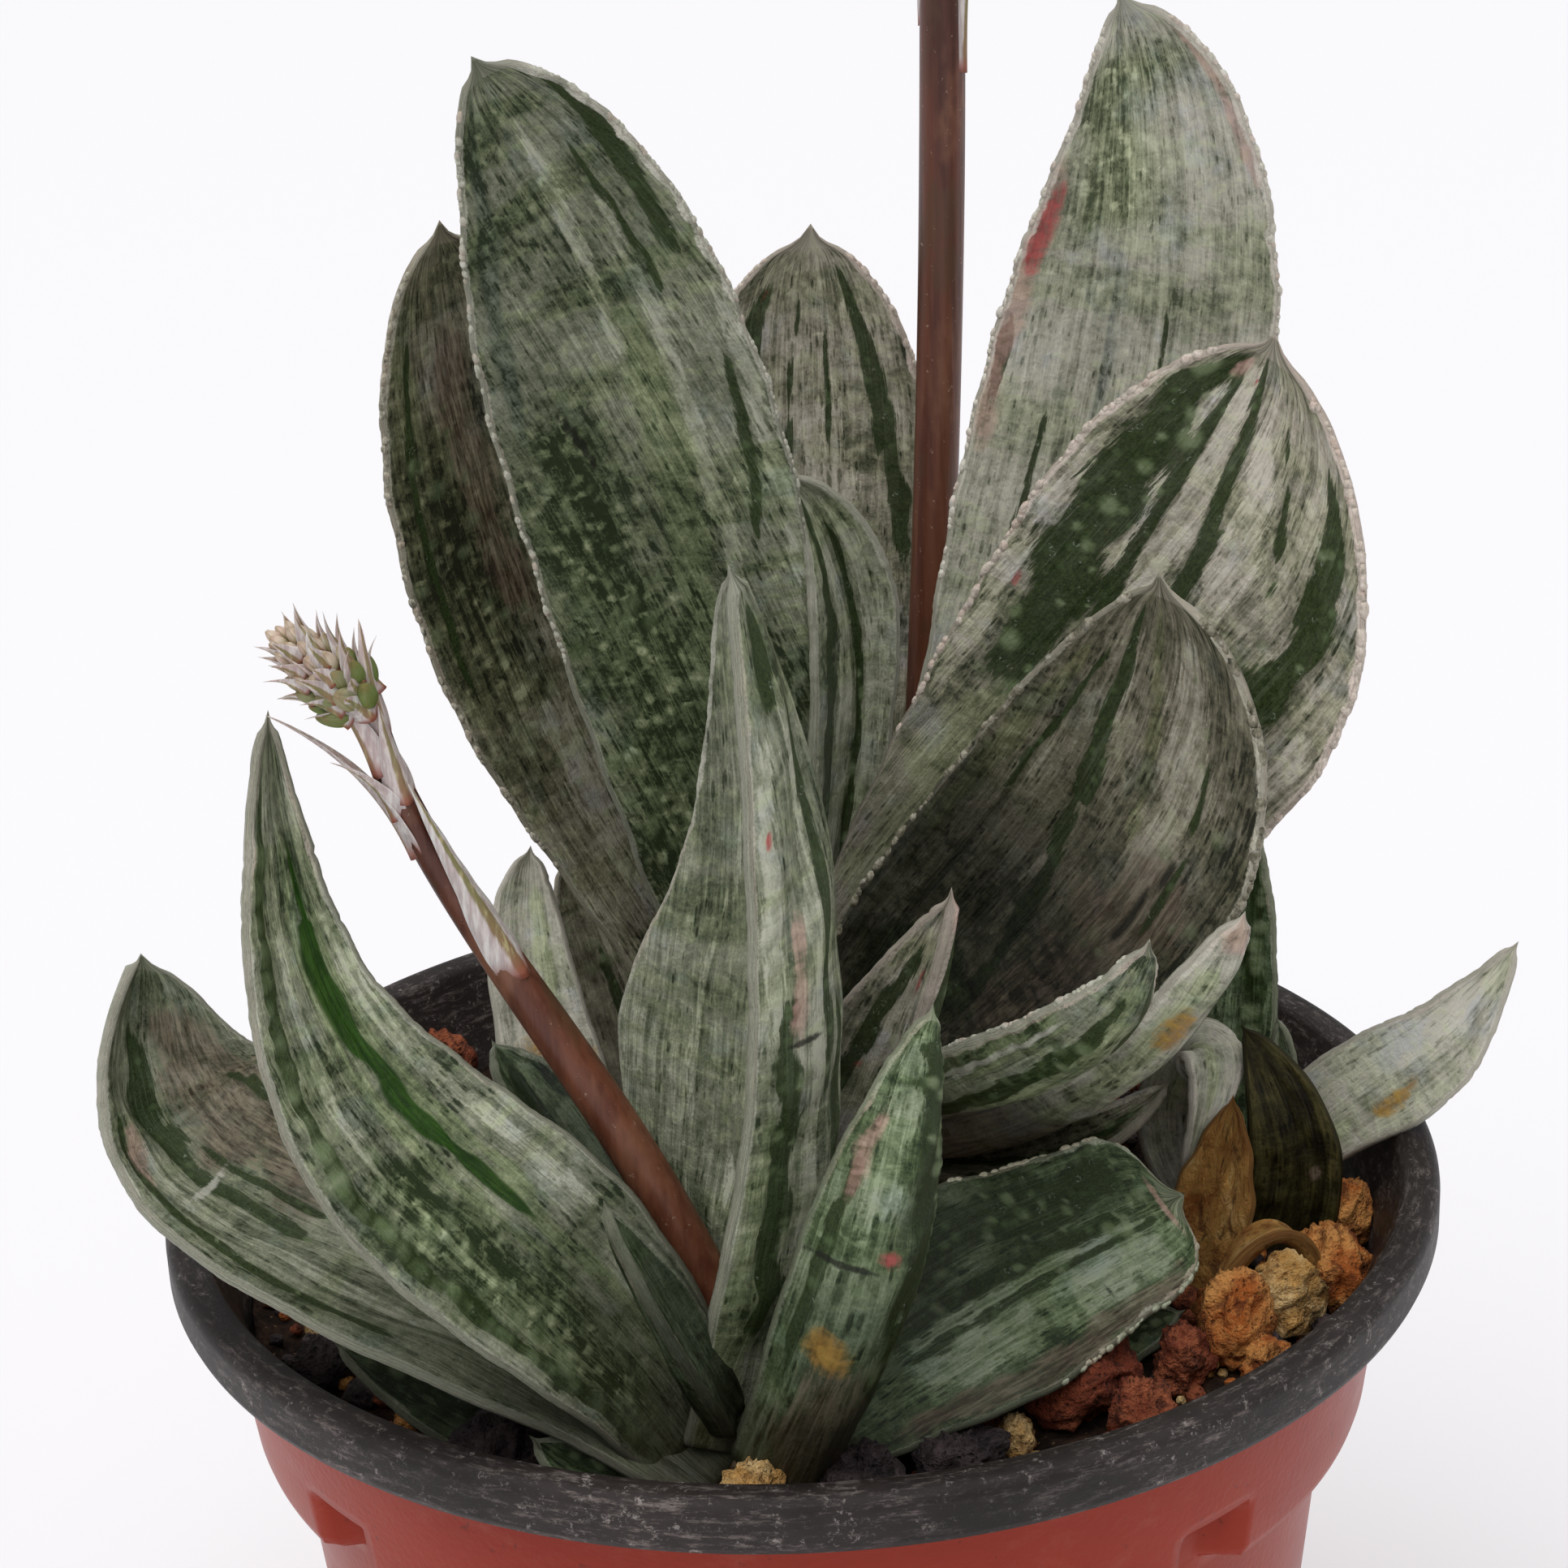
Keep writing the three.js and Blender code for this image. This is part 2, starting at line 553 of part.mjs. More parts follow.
// A bract points to where its stalk is a little further on, and so lies along it.
function stalkSolid(stalk, grow = 0) {
  const parts = [rod(stalk.path, stalk.radius, stalk.rows, 8, grow)];
  for (const one of stalk.bracts) {
    const { at } = onPath(stalk.path, one.s);
    const ahead = onPath(stalk.path, Math.min(1, one.s + BRACT_SIGHT)).at;
    const way = unit(add(ahead, at, -1));
    const out = turned(way, one.turn * DEG);
    const inset = along(stalk.radius, one.s) + 0.1;
    parts.push(bract(at, way, out, one.length, one.width + grow, one.lift * DEG, inset));
  }
  return Manifold.union(parts);
}

// One closed bud, a slim egg that points along its own axis.
function bud(at, way, length, width) {
  const a = unit(cross(way, [0.3, 1, 0.2]));
  const b = cross(way, a);
  const rings = [0.25, 0.7].map((s) => {
    const radius = (width / 2) * Math.sin(Math.PI * s ** 0.85) ** 0.6;
    const ring = [];
    for (let i = 0; i < 5; i += 1) {
      const t = (2 * Math.PI * i) / 5;
      const centre = add(at, way, length * s);
      ring.push(add(add(centre, a, radius * Math.cos(t)), b, radius * Math.sin(t)));
    }
    return ring;
  });
  return skin(rings, at, add(at, way, length));
}

function headSolid(head) {
  const GOLDEN = 137.5 * DEG;
  const parts = [rod(head.axis, head.core, 5, 8)];
  for (let i = 0; i < head.buds; i += 1) {
    const s = head.from + (0.97 - head.from) * (i / (head.buds - 1));
    const { at, way } = onPath(head.axis, s);
    const out = turned(way, i * GOLDEN);
    const lean = (head.lean[0] + (head.lean[1] - head.lean[0]) * s ** 0.8) * DEG;
    const size = 1 - 0.45 * s;
    const aim = unit(add([way[0] * Math.cos(lean), way[1] * Math.cos(lean),
      way[2] * Math.cos(lean)], out, Math.sin(lean)));
    parts.push(bud(add(at, out, 0.4), aim, head.budLength * size, head.budWidth * size));
  }
  for (let i = 0; i < head.bracts; i += 1) {
    const s = head.from + (0.9 - head.from) * (i / (head.bracts - 1));
    const { at, way } = onPath(head.axis, s);
    const out = turned(way, (i + 0.5) * GOLDEN * 1.6);
    const length = head.bractLength * (1 - 0.4 * s);
    parts.push(bract(at, way, out, length, head.bractWidth, (50 - 30 * s) * DEG, 0.9));
  }
  return Manifold.union(parts);
}

// ---- pot ----
// Columns of one sector round the pot: the notch and its flanks, then plain wall.
const NOTCH_WIDE_DEG = NOTCH_HALF_DEG + NOTCH_FLANK_DEG;
const SECTOR_DEG = 360 / NOTCH_COUNT;
const SECTOR = [
  -NOTCH_WIDE_DEG, -NOTCH_HALF_DEG, NOTCH_HALF_DEG, NOTCH_WIDE_DEG,
  NOTCH_WIDE_DEG + (SECTOR_DEG - 2 * NOTCH_WIDE_DEG) / 3,
  NOTCH_WIDE_DEG + ((SECTOR_DEG - 2 * NOTCH_WIDE_DEG) * 2) / 3,
];

const COLUMNS = [];
for (let k = 0; k < NOTCH_COUNT; k += 1) {
  for (const column of SECTOR) COLUMNS.push((NOTCH_FIRST_DEG + k * SECTOR_DEG + column) * DEG);
}

// Heights and radii that the pot and its soil share.
const COLLAR_FOOT = POT_HEIGHT - COLLAR_DROP;
const LEDGE_TOP = POT_HEIGHT - LEDGE_DROP;
const wallAt = (z) => BASE_RADIUS + (WALL_TOP_RADIUS - BASE_RADIUS) * (z / COLLAR_FOOT);
const collarAt = (z) => COLLAR_FOOT_RADIUS
  + ((COLLAR_TOP_RADIUS - COLLAR_FOOT_RADIUS) * (z - COLLAR_FOOT)) / (COLLAR_DROP - RIM_DROP);
const LOWER_WALL = wallAt(COLLAR_FOOT);
const UPPER_INSIDE = collarAt(LEDGE_TOP) - WALL;

// One level ring round the pot; notched gives the radius inside a notch.
function level(radius, z, notched = radius) {
  return COLUMNS.map((t, i) => {
    const column = i % SECTOR.length;
    const r = column === 1 || column === 2 ? notched : radius;
    return [r * Math.cos(t), r * Math.sin(t), z];
  });
}

function potSolid() {
  const top = POT_HEIGHT;
  const lip = RIM_RADIUS - RIM_WIDTH;
  const notchFoot = LOWER_WALL + NOTCH_EASE;
  // Outside upwards, over the lip and down inside.
  const rings = [
    level(BASE_RADIUS - BASE_BEVEL, 0),
    level(wallAt(BASE_BEVEL), BASE_BEVEL),
    level(LOWER_WALL, COLLAR_FOOT - COLLAR_SLOPE),
    level(COLLAR_FOOT_RADIUS, COLLAR_FOOT, LOWER_WALL),
    level(collarAt(top - NOTCH_DROP), top - NOTCH_DROP, notchFoot),
    level(collarAt(top - NOTCH_DROP + NOTCH_ROOF), top - NOTCH_DROP + NOTCH_ROOF),
    level(COLLAR_TOP_RADIUS, top - RIM_DROP),
    level(RIM_RADIUS - RIM_BEVEL, top - RIM_DROP),
    level(RIM_RADIUS, top - RIM_DROP + RIM_BEVEL),
    level(RIM_RADIUS, top - LIP_ROUND),
    level(RIM_RADIUS - LIP_ROUND, top),
    level(lip + RIM_BEVEL, top),
    level(lip, top - RIM_BEVEL),
    level(COLLAR_TOP_RADIUS - WALL, top - RIM_DROP - RIM_BEVEL),
    level(UPPER_INSIDE, LEDGE_TOP),
    level(LOWER_WALL - WALL, LEDGE_TOP - LEDGE_SLOPE),
    level(wallAt(FLOOR) - WALL, FLOOR),
  ];
  let pot = skin(rings, [0, 0, 0], [0, 0, FLOOR]);
  for (let i = 0; i < DRAIN_COUNT; i += 1) {
    const t = (2 * Math.PI * (i + 0.5)) / DRAIN_COUNT;
    const hole = new THREE.CylinderGeometry(DRAIN_RADIUS, DRAIN_RADIUS, 3 * FLOOR, DRAIN_SIDES)
      .rotateX(Math.PI / 2)
      .translate(DRAIN_RING_RADIUS * Math.cos(t), DRAIN_RING_RADIUS * Math.sin(t), FLOOR / 2);
    pot = pot.subtract(fromGeometry(hole));
  }
  return pot;
}

// ---- soil with its gravel ----
// An uneven five-sided pebble with its foot sunk in the soil.
function stoneSolid([x, y, across, height, turn]) {
  const foot = SOIL_Z - STONE_SUNK;
  const tall = height + STONE_SUNK - BED_DROP / 2;
  const rings = STONE_RINGS.map(([part, wide], r) => {
    const ring = [];
    for (let i = 0; i < STONE_SIDES; i += 1) {
      const t = (2 * Math.PI * (i + 0.4 * r)) / STONE_SIDES + turn * DEG;
      const uneven = 1 + 0.16 * Math.sin(3.1 * i + 5.3 * r + turn);
      const radius = (across / 2) * uneven * wide;
      ring.push([x + radius * Math.cos(t), y + radius * Math.sin(t) * STONE_FLAT, foot + tall * part]);
    }
    return ring;
  });
  return skin(rings, [x, y, foot - 0.4], [x, y, foot + tall]);
}

function soilSolid() {
  const ground = [UPPER_INSIDE - GAP, ...GROUND_RADII].map((radius, r) =>
    level(radius, SOIL_Z - BED_DROP).map(([x, y, z], i) => {
      const t = COLUMNS[i];
      return [x, y, z + 0.5 * Math.sin(5 * t + 2 * r) + 0.35 * Math.sin(9 * t + r)];
    }));
  const walls = [
    level(wallAt(FLOOR) - WALL - GAP, FLOOR + GAP),
    level(LOWER_WALL - WALL - GAP, LEDGE_TOP - LEDGE_SLOPE),
    level(UPPER_INSIDE - GAP, LEDGE_TOP + GAP),
  ];
  const above = POT_HEIGHT + STONE_REACH;
  const cavity = skin([...walls, level(UPPER_INSIDE - GAP, above)],
    [0, 0, FLOOR + GAP], [0, 0, above]);
  const bed = skin([...walls, ...ground], [0, 0, FLOOR + GAP], [0, 0, SOIL_Z - BED_DROP]);
  return Manifold.union([bed, ...STONES.map((stone) => stoneSolid(stone).intersect(cavity))]);
}

function crownSolid(crown, grow = 0) {
  const [x, y] = crown.at;
  const foot = SOIL_Z + crown.foot - grow;
  const top = SOIL_Z + crown.top + grow;
  const rings = [[foot, 0.8], [foot + 3, 1], [top - 1.5, 0.9], [top, 0.55]].map(([z, part]) => {
    const ring = [];
    for (let i = 0; i < CROWN_SIDES; i += 1) {
      const t = (2 * Math.PI * i) / CROWN_SIDES;
      const radius = (crown.radius + grow) * part;
      ring.push([x + radius * Math.cos(t), y + radius * Math.sin(t), z]);
    }
    return ring;
  });
  return skin(rings, [x, y, foot], [x, y, top]);
}

// ---- assembly: each piece is cut back a gap's width from those placed before it ----
// The largest body left after a cut.
function largest(body) {
  return body.decompose().sort((a, b) => b.volume() - a.volume())[0];
}

const placed = [];
const pieces = [];

function place(name, body, grown, colour, rough) {
  let cut = body;
  const box = body.boundingBox();
  for (const other of placed) {
    const away = (k) => other.box.min[k] > box.max[k] || other.box.max[k] < box.min[k];
    if (![0, 1, 2].some(away)) cut = cut.subtract(other.grown);
  }
  cut = largest(cut);
  placed.push({ grown, box: grown.boundingBox() });
  pieces.push({ name, body: cut, colour, rough });
}

const STALK_COLOUR = 0x6b4038;
const HEAD_COLOUR = 0xb9b49a;
const LEAF_COLOUR = 0x6c7d68;
const DRY_COLOUR = 0xa9854f;
const CROWN_COLOUR = 0x8a8f6a;
const POT_COLOUR = 0xa54b3a;
const SOIL_COLOUR = 0x3b2c24;

for (const crown of CROWNS) {
  place(crown.name, crownSolid(crown), crownSolid(crown, GAP), CROWN_COLOUR, 0.8);
}
for (const stalk of [TALL_STALK, YOUNG_STALK]) {
  place(stalk.name, stalkSolid(stalk), stalkSolid(stalk, GAP), STALK_COLOUR, 0.5);
}
for (const head of [TALL_HEAD, YOUNG_HEAD]) {
  const body = headSolid(head);
  place(head.name, body, body, HEAD_COLOUR, 0.6);
}
for (const leaf of LEAVES) {
  const colour = leaf.name.includes('dry') ? DRY_COLOUR : LEAF_COLOUR;
  place(leaf.name, leafSolid(leaf), leafSolid(leaf, GAP), colour, 0.5);
}
const pot = potSolid();
place('pot', pot, pot, POT_COLOUR, 0.45);
place('soil', soilSolid(), pot, SOIL_COLOUR, 0.95);

const group = new THREE.Group();
group.name = 'gasteria';
for (const { name, body, colour, rough } of pieces) {
  const mesh = body.getMesh();
  let geometry = new THREE.BufferGeometry();
  geometry.setAttribute('position', new THREE.BufferAttribute(mesh.vertProperties, 3));
  geometry.setIndex(new THREE.BufferAttribute(mesh.triVerts, 1));
  geometry = mergeVertices(geometry, 1e-3);
  geometry.computeVertexNormals();
  const material = new THREE.MeshStandardMaterial({ color: colour, roughness: rough });
  material.name = name;
  const part = new THREE.Mesh(geometry, material);
  part.name = name;
  group.add(part);
}

export default group;
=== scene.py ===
import math

import bpy
import numpy as np
from mathutils import Matrix, Vector


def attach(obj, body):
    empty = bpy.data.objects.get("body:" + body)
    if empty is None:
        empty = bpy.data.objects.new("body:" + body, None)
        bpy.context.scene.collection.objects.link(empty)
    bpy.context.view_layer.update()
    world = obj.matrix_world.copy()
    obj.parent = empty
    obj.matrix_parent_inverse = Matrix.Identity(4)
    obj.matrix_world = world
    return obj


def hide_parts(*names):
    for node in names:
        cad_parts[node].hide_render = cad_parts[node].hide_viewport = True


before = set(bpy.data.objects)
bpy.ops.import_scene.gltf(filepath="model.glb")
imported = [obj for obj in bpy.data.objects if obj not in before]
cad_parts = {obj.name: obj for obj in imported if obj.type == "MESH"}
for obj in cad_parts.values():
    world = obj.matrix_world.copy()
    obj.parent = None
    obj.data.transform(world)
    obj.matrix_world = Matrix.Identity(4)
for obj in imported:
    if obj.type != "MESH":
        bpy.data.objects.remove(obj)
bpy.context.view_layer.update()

# Looks of the potted gasteria: leaves with spots, streaks and horny margins, flower stalks
# with bracts and buds, gritty soil and a worn nursery pot. Lengths are in mm until a mesh is made.
MM = 0.001

# ---- driving dimensions, as in the part; a DROP is measured down from the rim ----
POT_HEIGHT = 104
RIM_RADIUS, RIM_WIDTH, RIM_DROP, RIM_BEVEL, LIP_ROUND = 60, 3.6, 5, 0.8, 1.3
COLLAR_TOP_RADIUS, COLLAR_FOOT_RADIUS, COLLAR_DROP = 55.6, 53.5, 22
WALL_TOP_RADIUS, BASE_RADIUS, BASE_BEVEL = 50.2, 42, 1.5
WALL, FLOOR = 1.3, 2
NOTCH_COUNT, NOTCH_DROP, NOTCH_ROOF = 8, 17, 1.6
NOTCH_FIRST_DEG, NOTCH_HALF_DEG, NOTCH_FLANK_DEG = -50.5, 2.6, 1.4
LEDGE_DROP, SOIL_DROP, BED_DROP = 14, 9, 1.5
SOIL_Z = POT_HEIGHT - SOIL_DROP
BED_Z = SOIL_Z - BED_DROP
COLLAR_FOOT_Z = POT_HEIGHT - COLLAR_DROP
LEDGE_Z = POT_HEIGHT - LEDGE_DROP
LEAF_EDGE = 0.9
FOLD_CURVE = 1.25

# ---- camera: close, slightly rolled, looking down into the rosette ----
CAMERA_AT = (0.0, -282.5, 254.4)
CAMERA_DOWN_DEG = 21.83
CAMERA_ROLL_DEG = 2.48
CAMERA_LENS = 76.44
SENSOR = 36.0


def make_camera():
    down, roll = math.radians(CAMERA_DOWN_DEG), math.radians(CAMERA_ROLL_DEG)
    ahead = Vector((0, math.cos(down), -math.sin(down)))
    right = Vector((1, 0, 0))
    up = right.cross(ahead)
    tilted_right = right * math.cos(roll) - up * math.sin(roll)
    tilted_up = up * math.cos(roll) + right * math.sin(roll)
    data = bpy.data.cameras.new("camera")
    data.sensor_fit = "HORIZONTAL"
    data.sensor_width = SENSOR
    data.lens = CAMERA_LENS
    data.clip_start = 0.01
    camera = bpy.data.objects.new("camera", data)
    turn = Matrix((tilted_right, tilted_up, -ahead)).transposed()
    camera.matrix_world = Matrix.Translation(Vector(CAMERA_AT) * MM) @ turn.to_4x4()
    bpy.context.collection.objects.link(camera)
    bpy.context.scene.camera = camera


# ---- studio: a pale dome, brightest overhead, one broad soft light, and a floor of pale paper ----
DOME_TINT = (0.99, 0.985, 1, 1)
DOME_RISE = {"From Min": -0.1, "From Max": 0.9, "To Min": 0.14, "To Max": 0.66}
SUN_TOWARD = (0.2, 0.34, -1)
SUN_STRENGTH = 1.62
SUN_SPREAD_DEG = 60
FLOOR_REACH_M = 9.0


def make_studio():
    world = bpy.data.worlds.new("studio")
    bpy.context.scene.world = world
    world.use_nodes = True
    nodes, links = world.node_tree.nodes, world.node_tree.links
    background = nodes["Background"]
    background.inputs["Color"].default_value = DOME_TINT
    split = nodes.new("ShaderNodeSeparateXYZ")
    links.new(nodes.new("ShaderNodeTexCoord").outputs["Generated"], split.inputs[0])
    rise = nodes.new("ShaderNodeMapRange")
    for key, value in DOME_RISE.items():
        rise.inputs[key].default_value = value
    links.new(split.outputs["Z"], rise.inputs["Value"])
    links.new(rise.outputs[0], background.inputs["Strength"])
    sun = bpy.data.lights.new("soft_top", "SUN")
    sun.energy = SUN_STRENGTH
    sun.angle = math.radians(SUN_SPREAD_DEG)
    light = bpy.data.objects.new("soft_top", sun)
    light.rotation_euler = Vector(SUN_TOWARD).to_track_quat("-Z", "Y").to_euler()
    bpy.context.collection.objects.link(light)
    settings = bpy.context.scene.view_settings
    settings.view_transform = "Standard"
    settings.look = "None"


def make_floor():
    mesh = bpy.data.meshes.new("floor")
    far = FLOOR_REACH_M
    mesh.from_pydata([(-far, -far, 0), (far, -far, 0), (far, far, 0), (-far, far, 0)], [],
                     [(0, 1, 2, 3)])
    floor = bpy.data.objects.new("floor", mesh)
    bpy.context.collection.objects.link(floor)
    mesh.materials.append(Tree("floor_paper").finish((252, 251, 253), 0.8, 0.2))


# ---- node helpers ----
def srgb(*colour):
    """A colour given as on a screen, 0 to 255, as the shader wants it."""
    shares = [v / 255 for v in colour]
    return (*(v / 12.92 if v <= 0.04045 else ((v + 0.055) / 1.055) ** 2.4 for v in shares), 1.0)


class Tree:
    """A material's nodes, built by short calls that return output sockets.

    Wherever a colour goes in, three numbers are a colour of 0 to 255 as on a screen.
    """

    def __init__(self, name):
        self.material = bpy.data.materials.new(name)
        self.material.use_nodes = True
        self.tree = self.material.node_tree
        self.shader = self.tree.nodes["Principled BSDF"]

    def put(self, socket, value):
        if isinstance(value, bpy.types.NodeSocket):
            self.tree.links.new(value, socket)
        elif socket.type == "RGBA" and len(value) == 3:
            socket.default_value = srgb(*value)
        else:
            socket.default_value = value

    def node(self, kind, inputs=(), **settings):
        node = self.tree.nodes.new(kind)
        for key, value in settings.items():
            setattr(node, key, value)
        for key, value in dict(inputs).items():
            self.put(node.inputs[key], value)
        return node

    def place(self):
        """Where in the part a point lies, in metres."""
        return self.node("ShaderNodeTexCoord").outputs["Object"]

    def vector(self, attribute):
        return self.node("ShaderNodeAttribute", attribute_name=attribute).outputs["Vector"]

    def split(self, vector):
        return self.node("ShaderNodeSeparateXYZ", {0: vector}).outputs

    def stretched(self, vector, scale):
        inputs = {0: vector, 1: scale}
        return self.node("ShaderNodeVectorMath", inputs, operation="MULTIPLY").outputs[0]

    def noise(self, vector, scale, detail=3.0, rough=0.55, warp=0.0):
        """Noise of about 0.3 to 0.7; a scale of three numbers stretches it."""
        if isinstance(scale, tuple):
            vector, scale = self.stretched(vector, scale), 1.0
        inputs = {"Vector": vector, "Scale": scale, "Detail": detail, "Roughness": rough,
                  "Distortion": warp}
        return self.node("ShaderNodeTexNoise", inputs).outputs["Fac"]

    def cells(self, vector, scale):
        """Distance to the nearest of many scattered points."""
        if isinstance(scale, tuple):
            vector, scale = self.stretched(vector, scale), 1.0
        inputs = {"Vector": vector, "Scale": scale, "Randomness": 1.0}
        return self.node("ShaderNodeTexVoronoi", inputs, feature="F1").outputs["Distance"]

    def math(self, operation, a, b=0.0):
        return self.node("ShaderNodeMath", {0: a, 1: b}, operation=operation).outputs[0]

    def times(self, a, b):
        return self.math("MULTIPLY", a, b)

    def total(self, first, *rest):
        for value in rest:
            first = self.math("ADD", first, value)
        return first

    def about(self, value, share):
        """The value's swing to either side of its middle, times a share."""
        return self.times(self.math("SUBTRACT", value, 0.5), share)

    def step(self, value, low, high):
        """0 below low, 1 above high and smooth between them; low may be the larger one."""
        inputs = {"Value": value, "From Min": low, "From Max": high}
        return self.node("ShaderNodeMapRange", inputs, interpolation_type="SMOOTHSTEP").outputs[0]

    def mix(self, share, a, b, mode="MIX"):
        inputs = {0: share, 6: a, 7: b}
        return self.node("ShaderNodeMix", inputs, data_type="RGBA", blend_type=mode).outputs[2]

    def between(self, value, low, high, a, b):
        """Colour a where the value is below low, colour b above high."""
        return self.mix(self.step(value, low, high), a, b)

    def paint(self, base, mask, share, over):
        return self.mix(self.times(mask, share), base, over)

    def wash(self, base, value, low, high, share, over):
        """A share of a colour over the base, where the value passes from low to high."""
        return self.paint(base, self.step(value, low, high), share, over)

    def tinted(self, base, mask, tint):
        return self.mix(mask, base, self.mix(1.0, base, tint, "MULTIPLY"))

    def finish(self, colour, rough, specular, bump=None, soft=None):
        """The shader's inputs; bump is height, strength and distance, soft weight and scale."""
        if bump:
            inputs = dict(zip(("Height", "Strength", "Distance"), bump))
            self.put(self.shader.inputs["Normal"], self.node("ShaderNodeBump", inputs).outputs[0])
        values = {"Base Color": colour, "Roughness": rough, "Specular IOR Level": specular}
        if soft:
            values["Subsurface Weight"], values["Subsurface Scale"] = soft
        for key, value in values.items():
            self.put(self.shader.inputs[key], value)
        return self.material


# ---- leaf table: the part's own forms, and each leaf's skin ----
# Forms: path from foot to tip, face is where the inner face looks (at foot and tip), half widths
# to the left and right from foot to tip, fold in degrees, thickness, round is how the tip closes
# (from where, power, bluntness), and wave is how far the margins wave and how often.
# Marks lie on the seen face (i inner, o outer) unless they name another one:
# stripes: colour, across at its foot and its top (-1 left margin to 1 right one), half width in
# mm, and from where to where along the leaf; spots: how many, size in mm, the range along and
# the range across; beads: across, the range along and size in mm.
# crust is the horny margin's strength left and right; shade is painted shade from the foot up:
# where it ends (all dark up to, none from) and how deep it is; teeth is the size of the margin's
# beads.
BLUNT = (0.55, 3, 0.5)
OVAL = (0.6, 3, 0.55)
SHARP = (0.6, 2.4, 0.55)
STOUT = (5, 4.5, 4, 3, 1.6)
FLESHY = (4, 4, 3.5, 2.6, 1.4)
SLIM = (3, 3, 2.5, 2, 1.2)
PAPERY = (1.6, 1.6, 1.5, 1.4, 1.2)
LEAF_DEFAULTS = dict(
    thick=SLIM, round=SHARP, wave=(0, 1), seen="i", crust=(0.35, 0.35), shade=(0.05, 0.4, 0.3),
    shear=0, bead_pale=0.85, teeth=None, stripes=[], spots=[], beads=[])
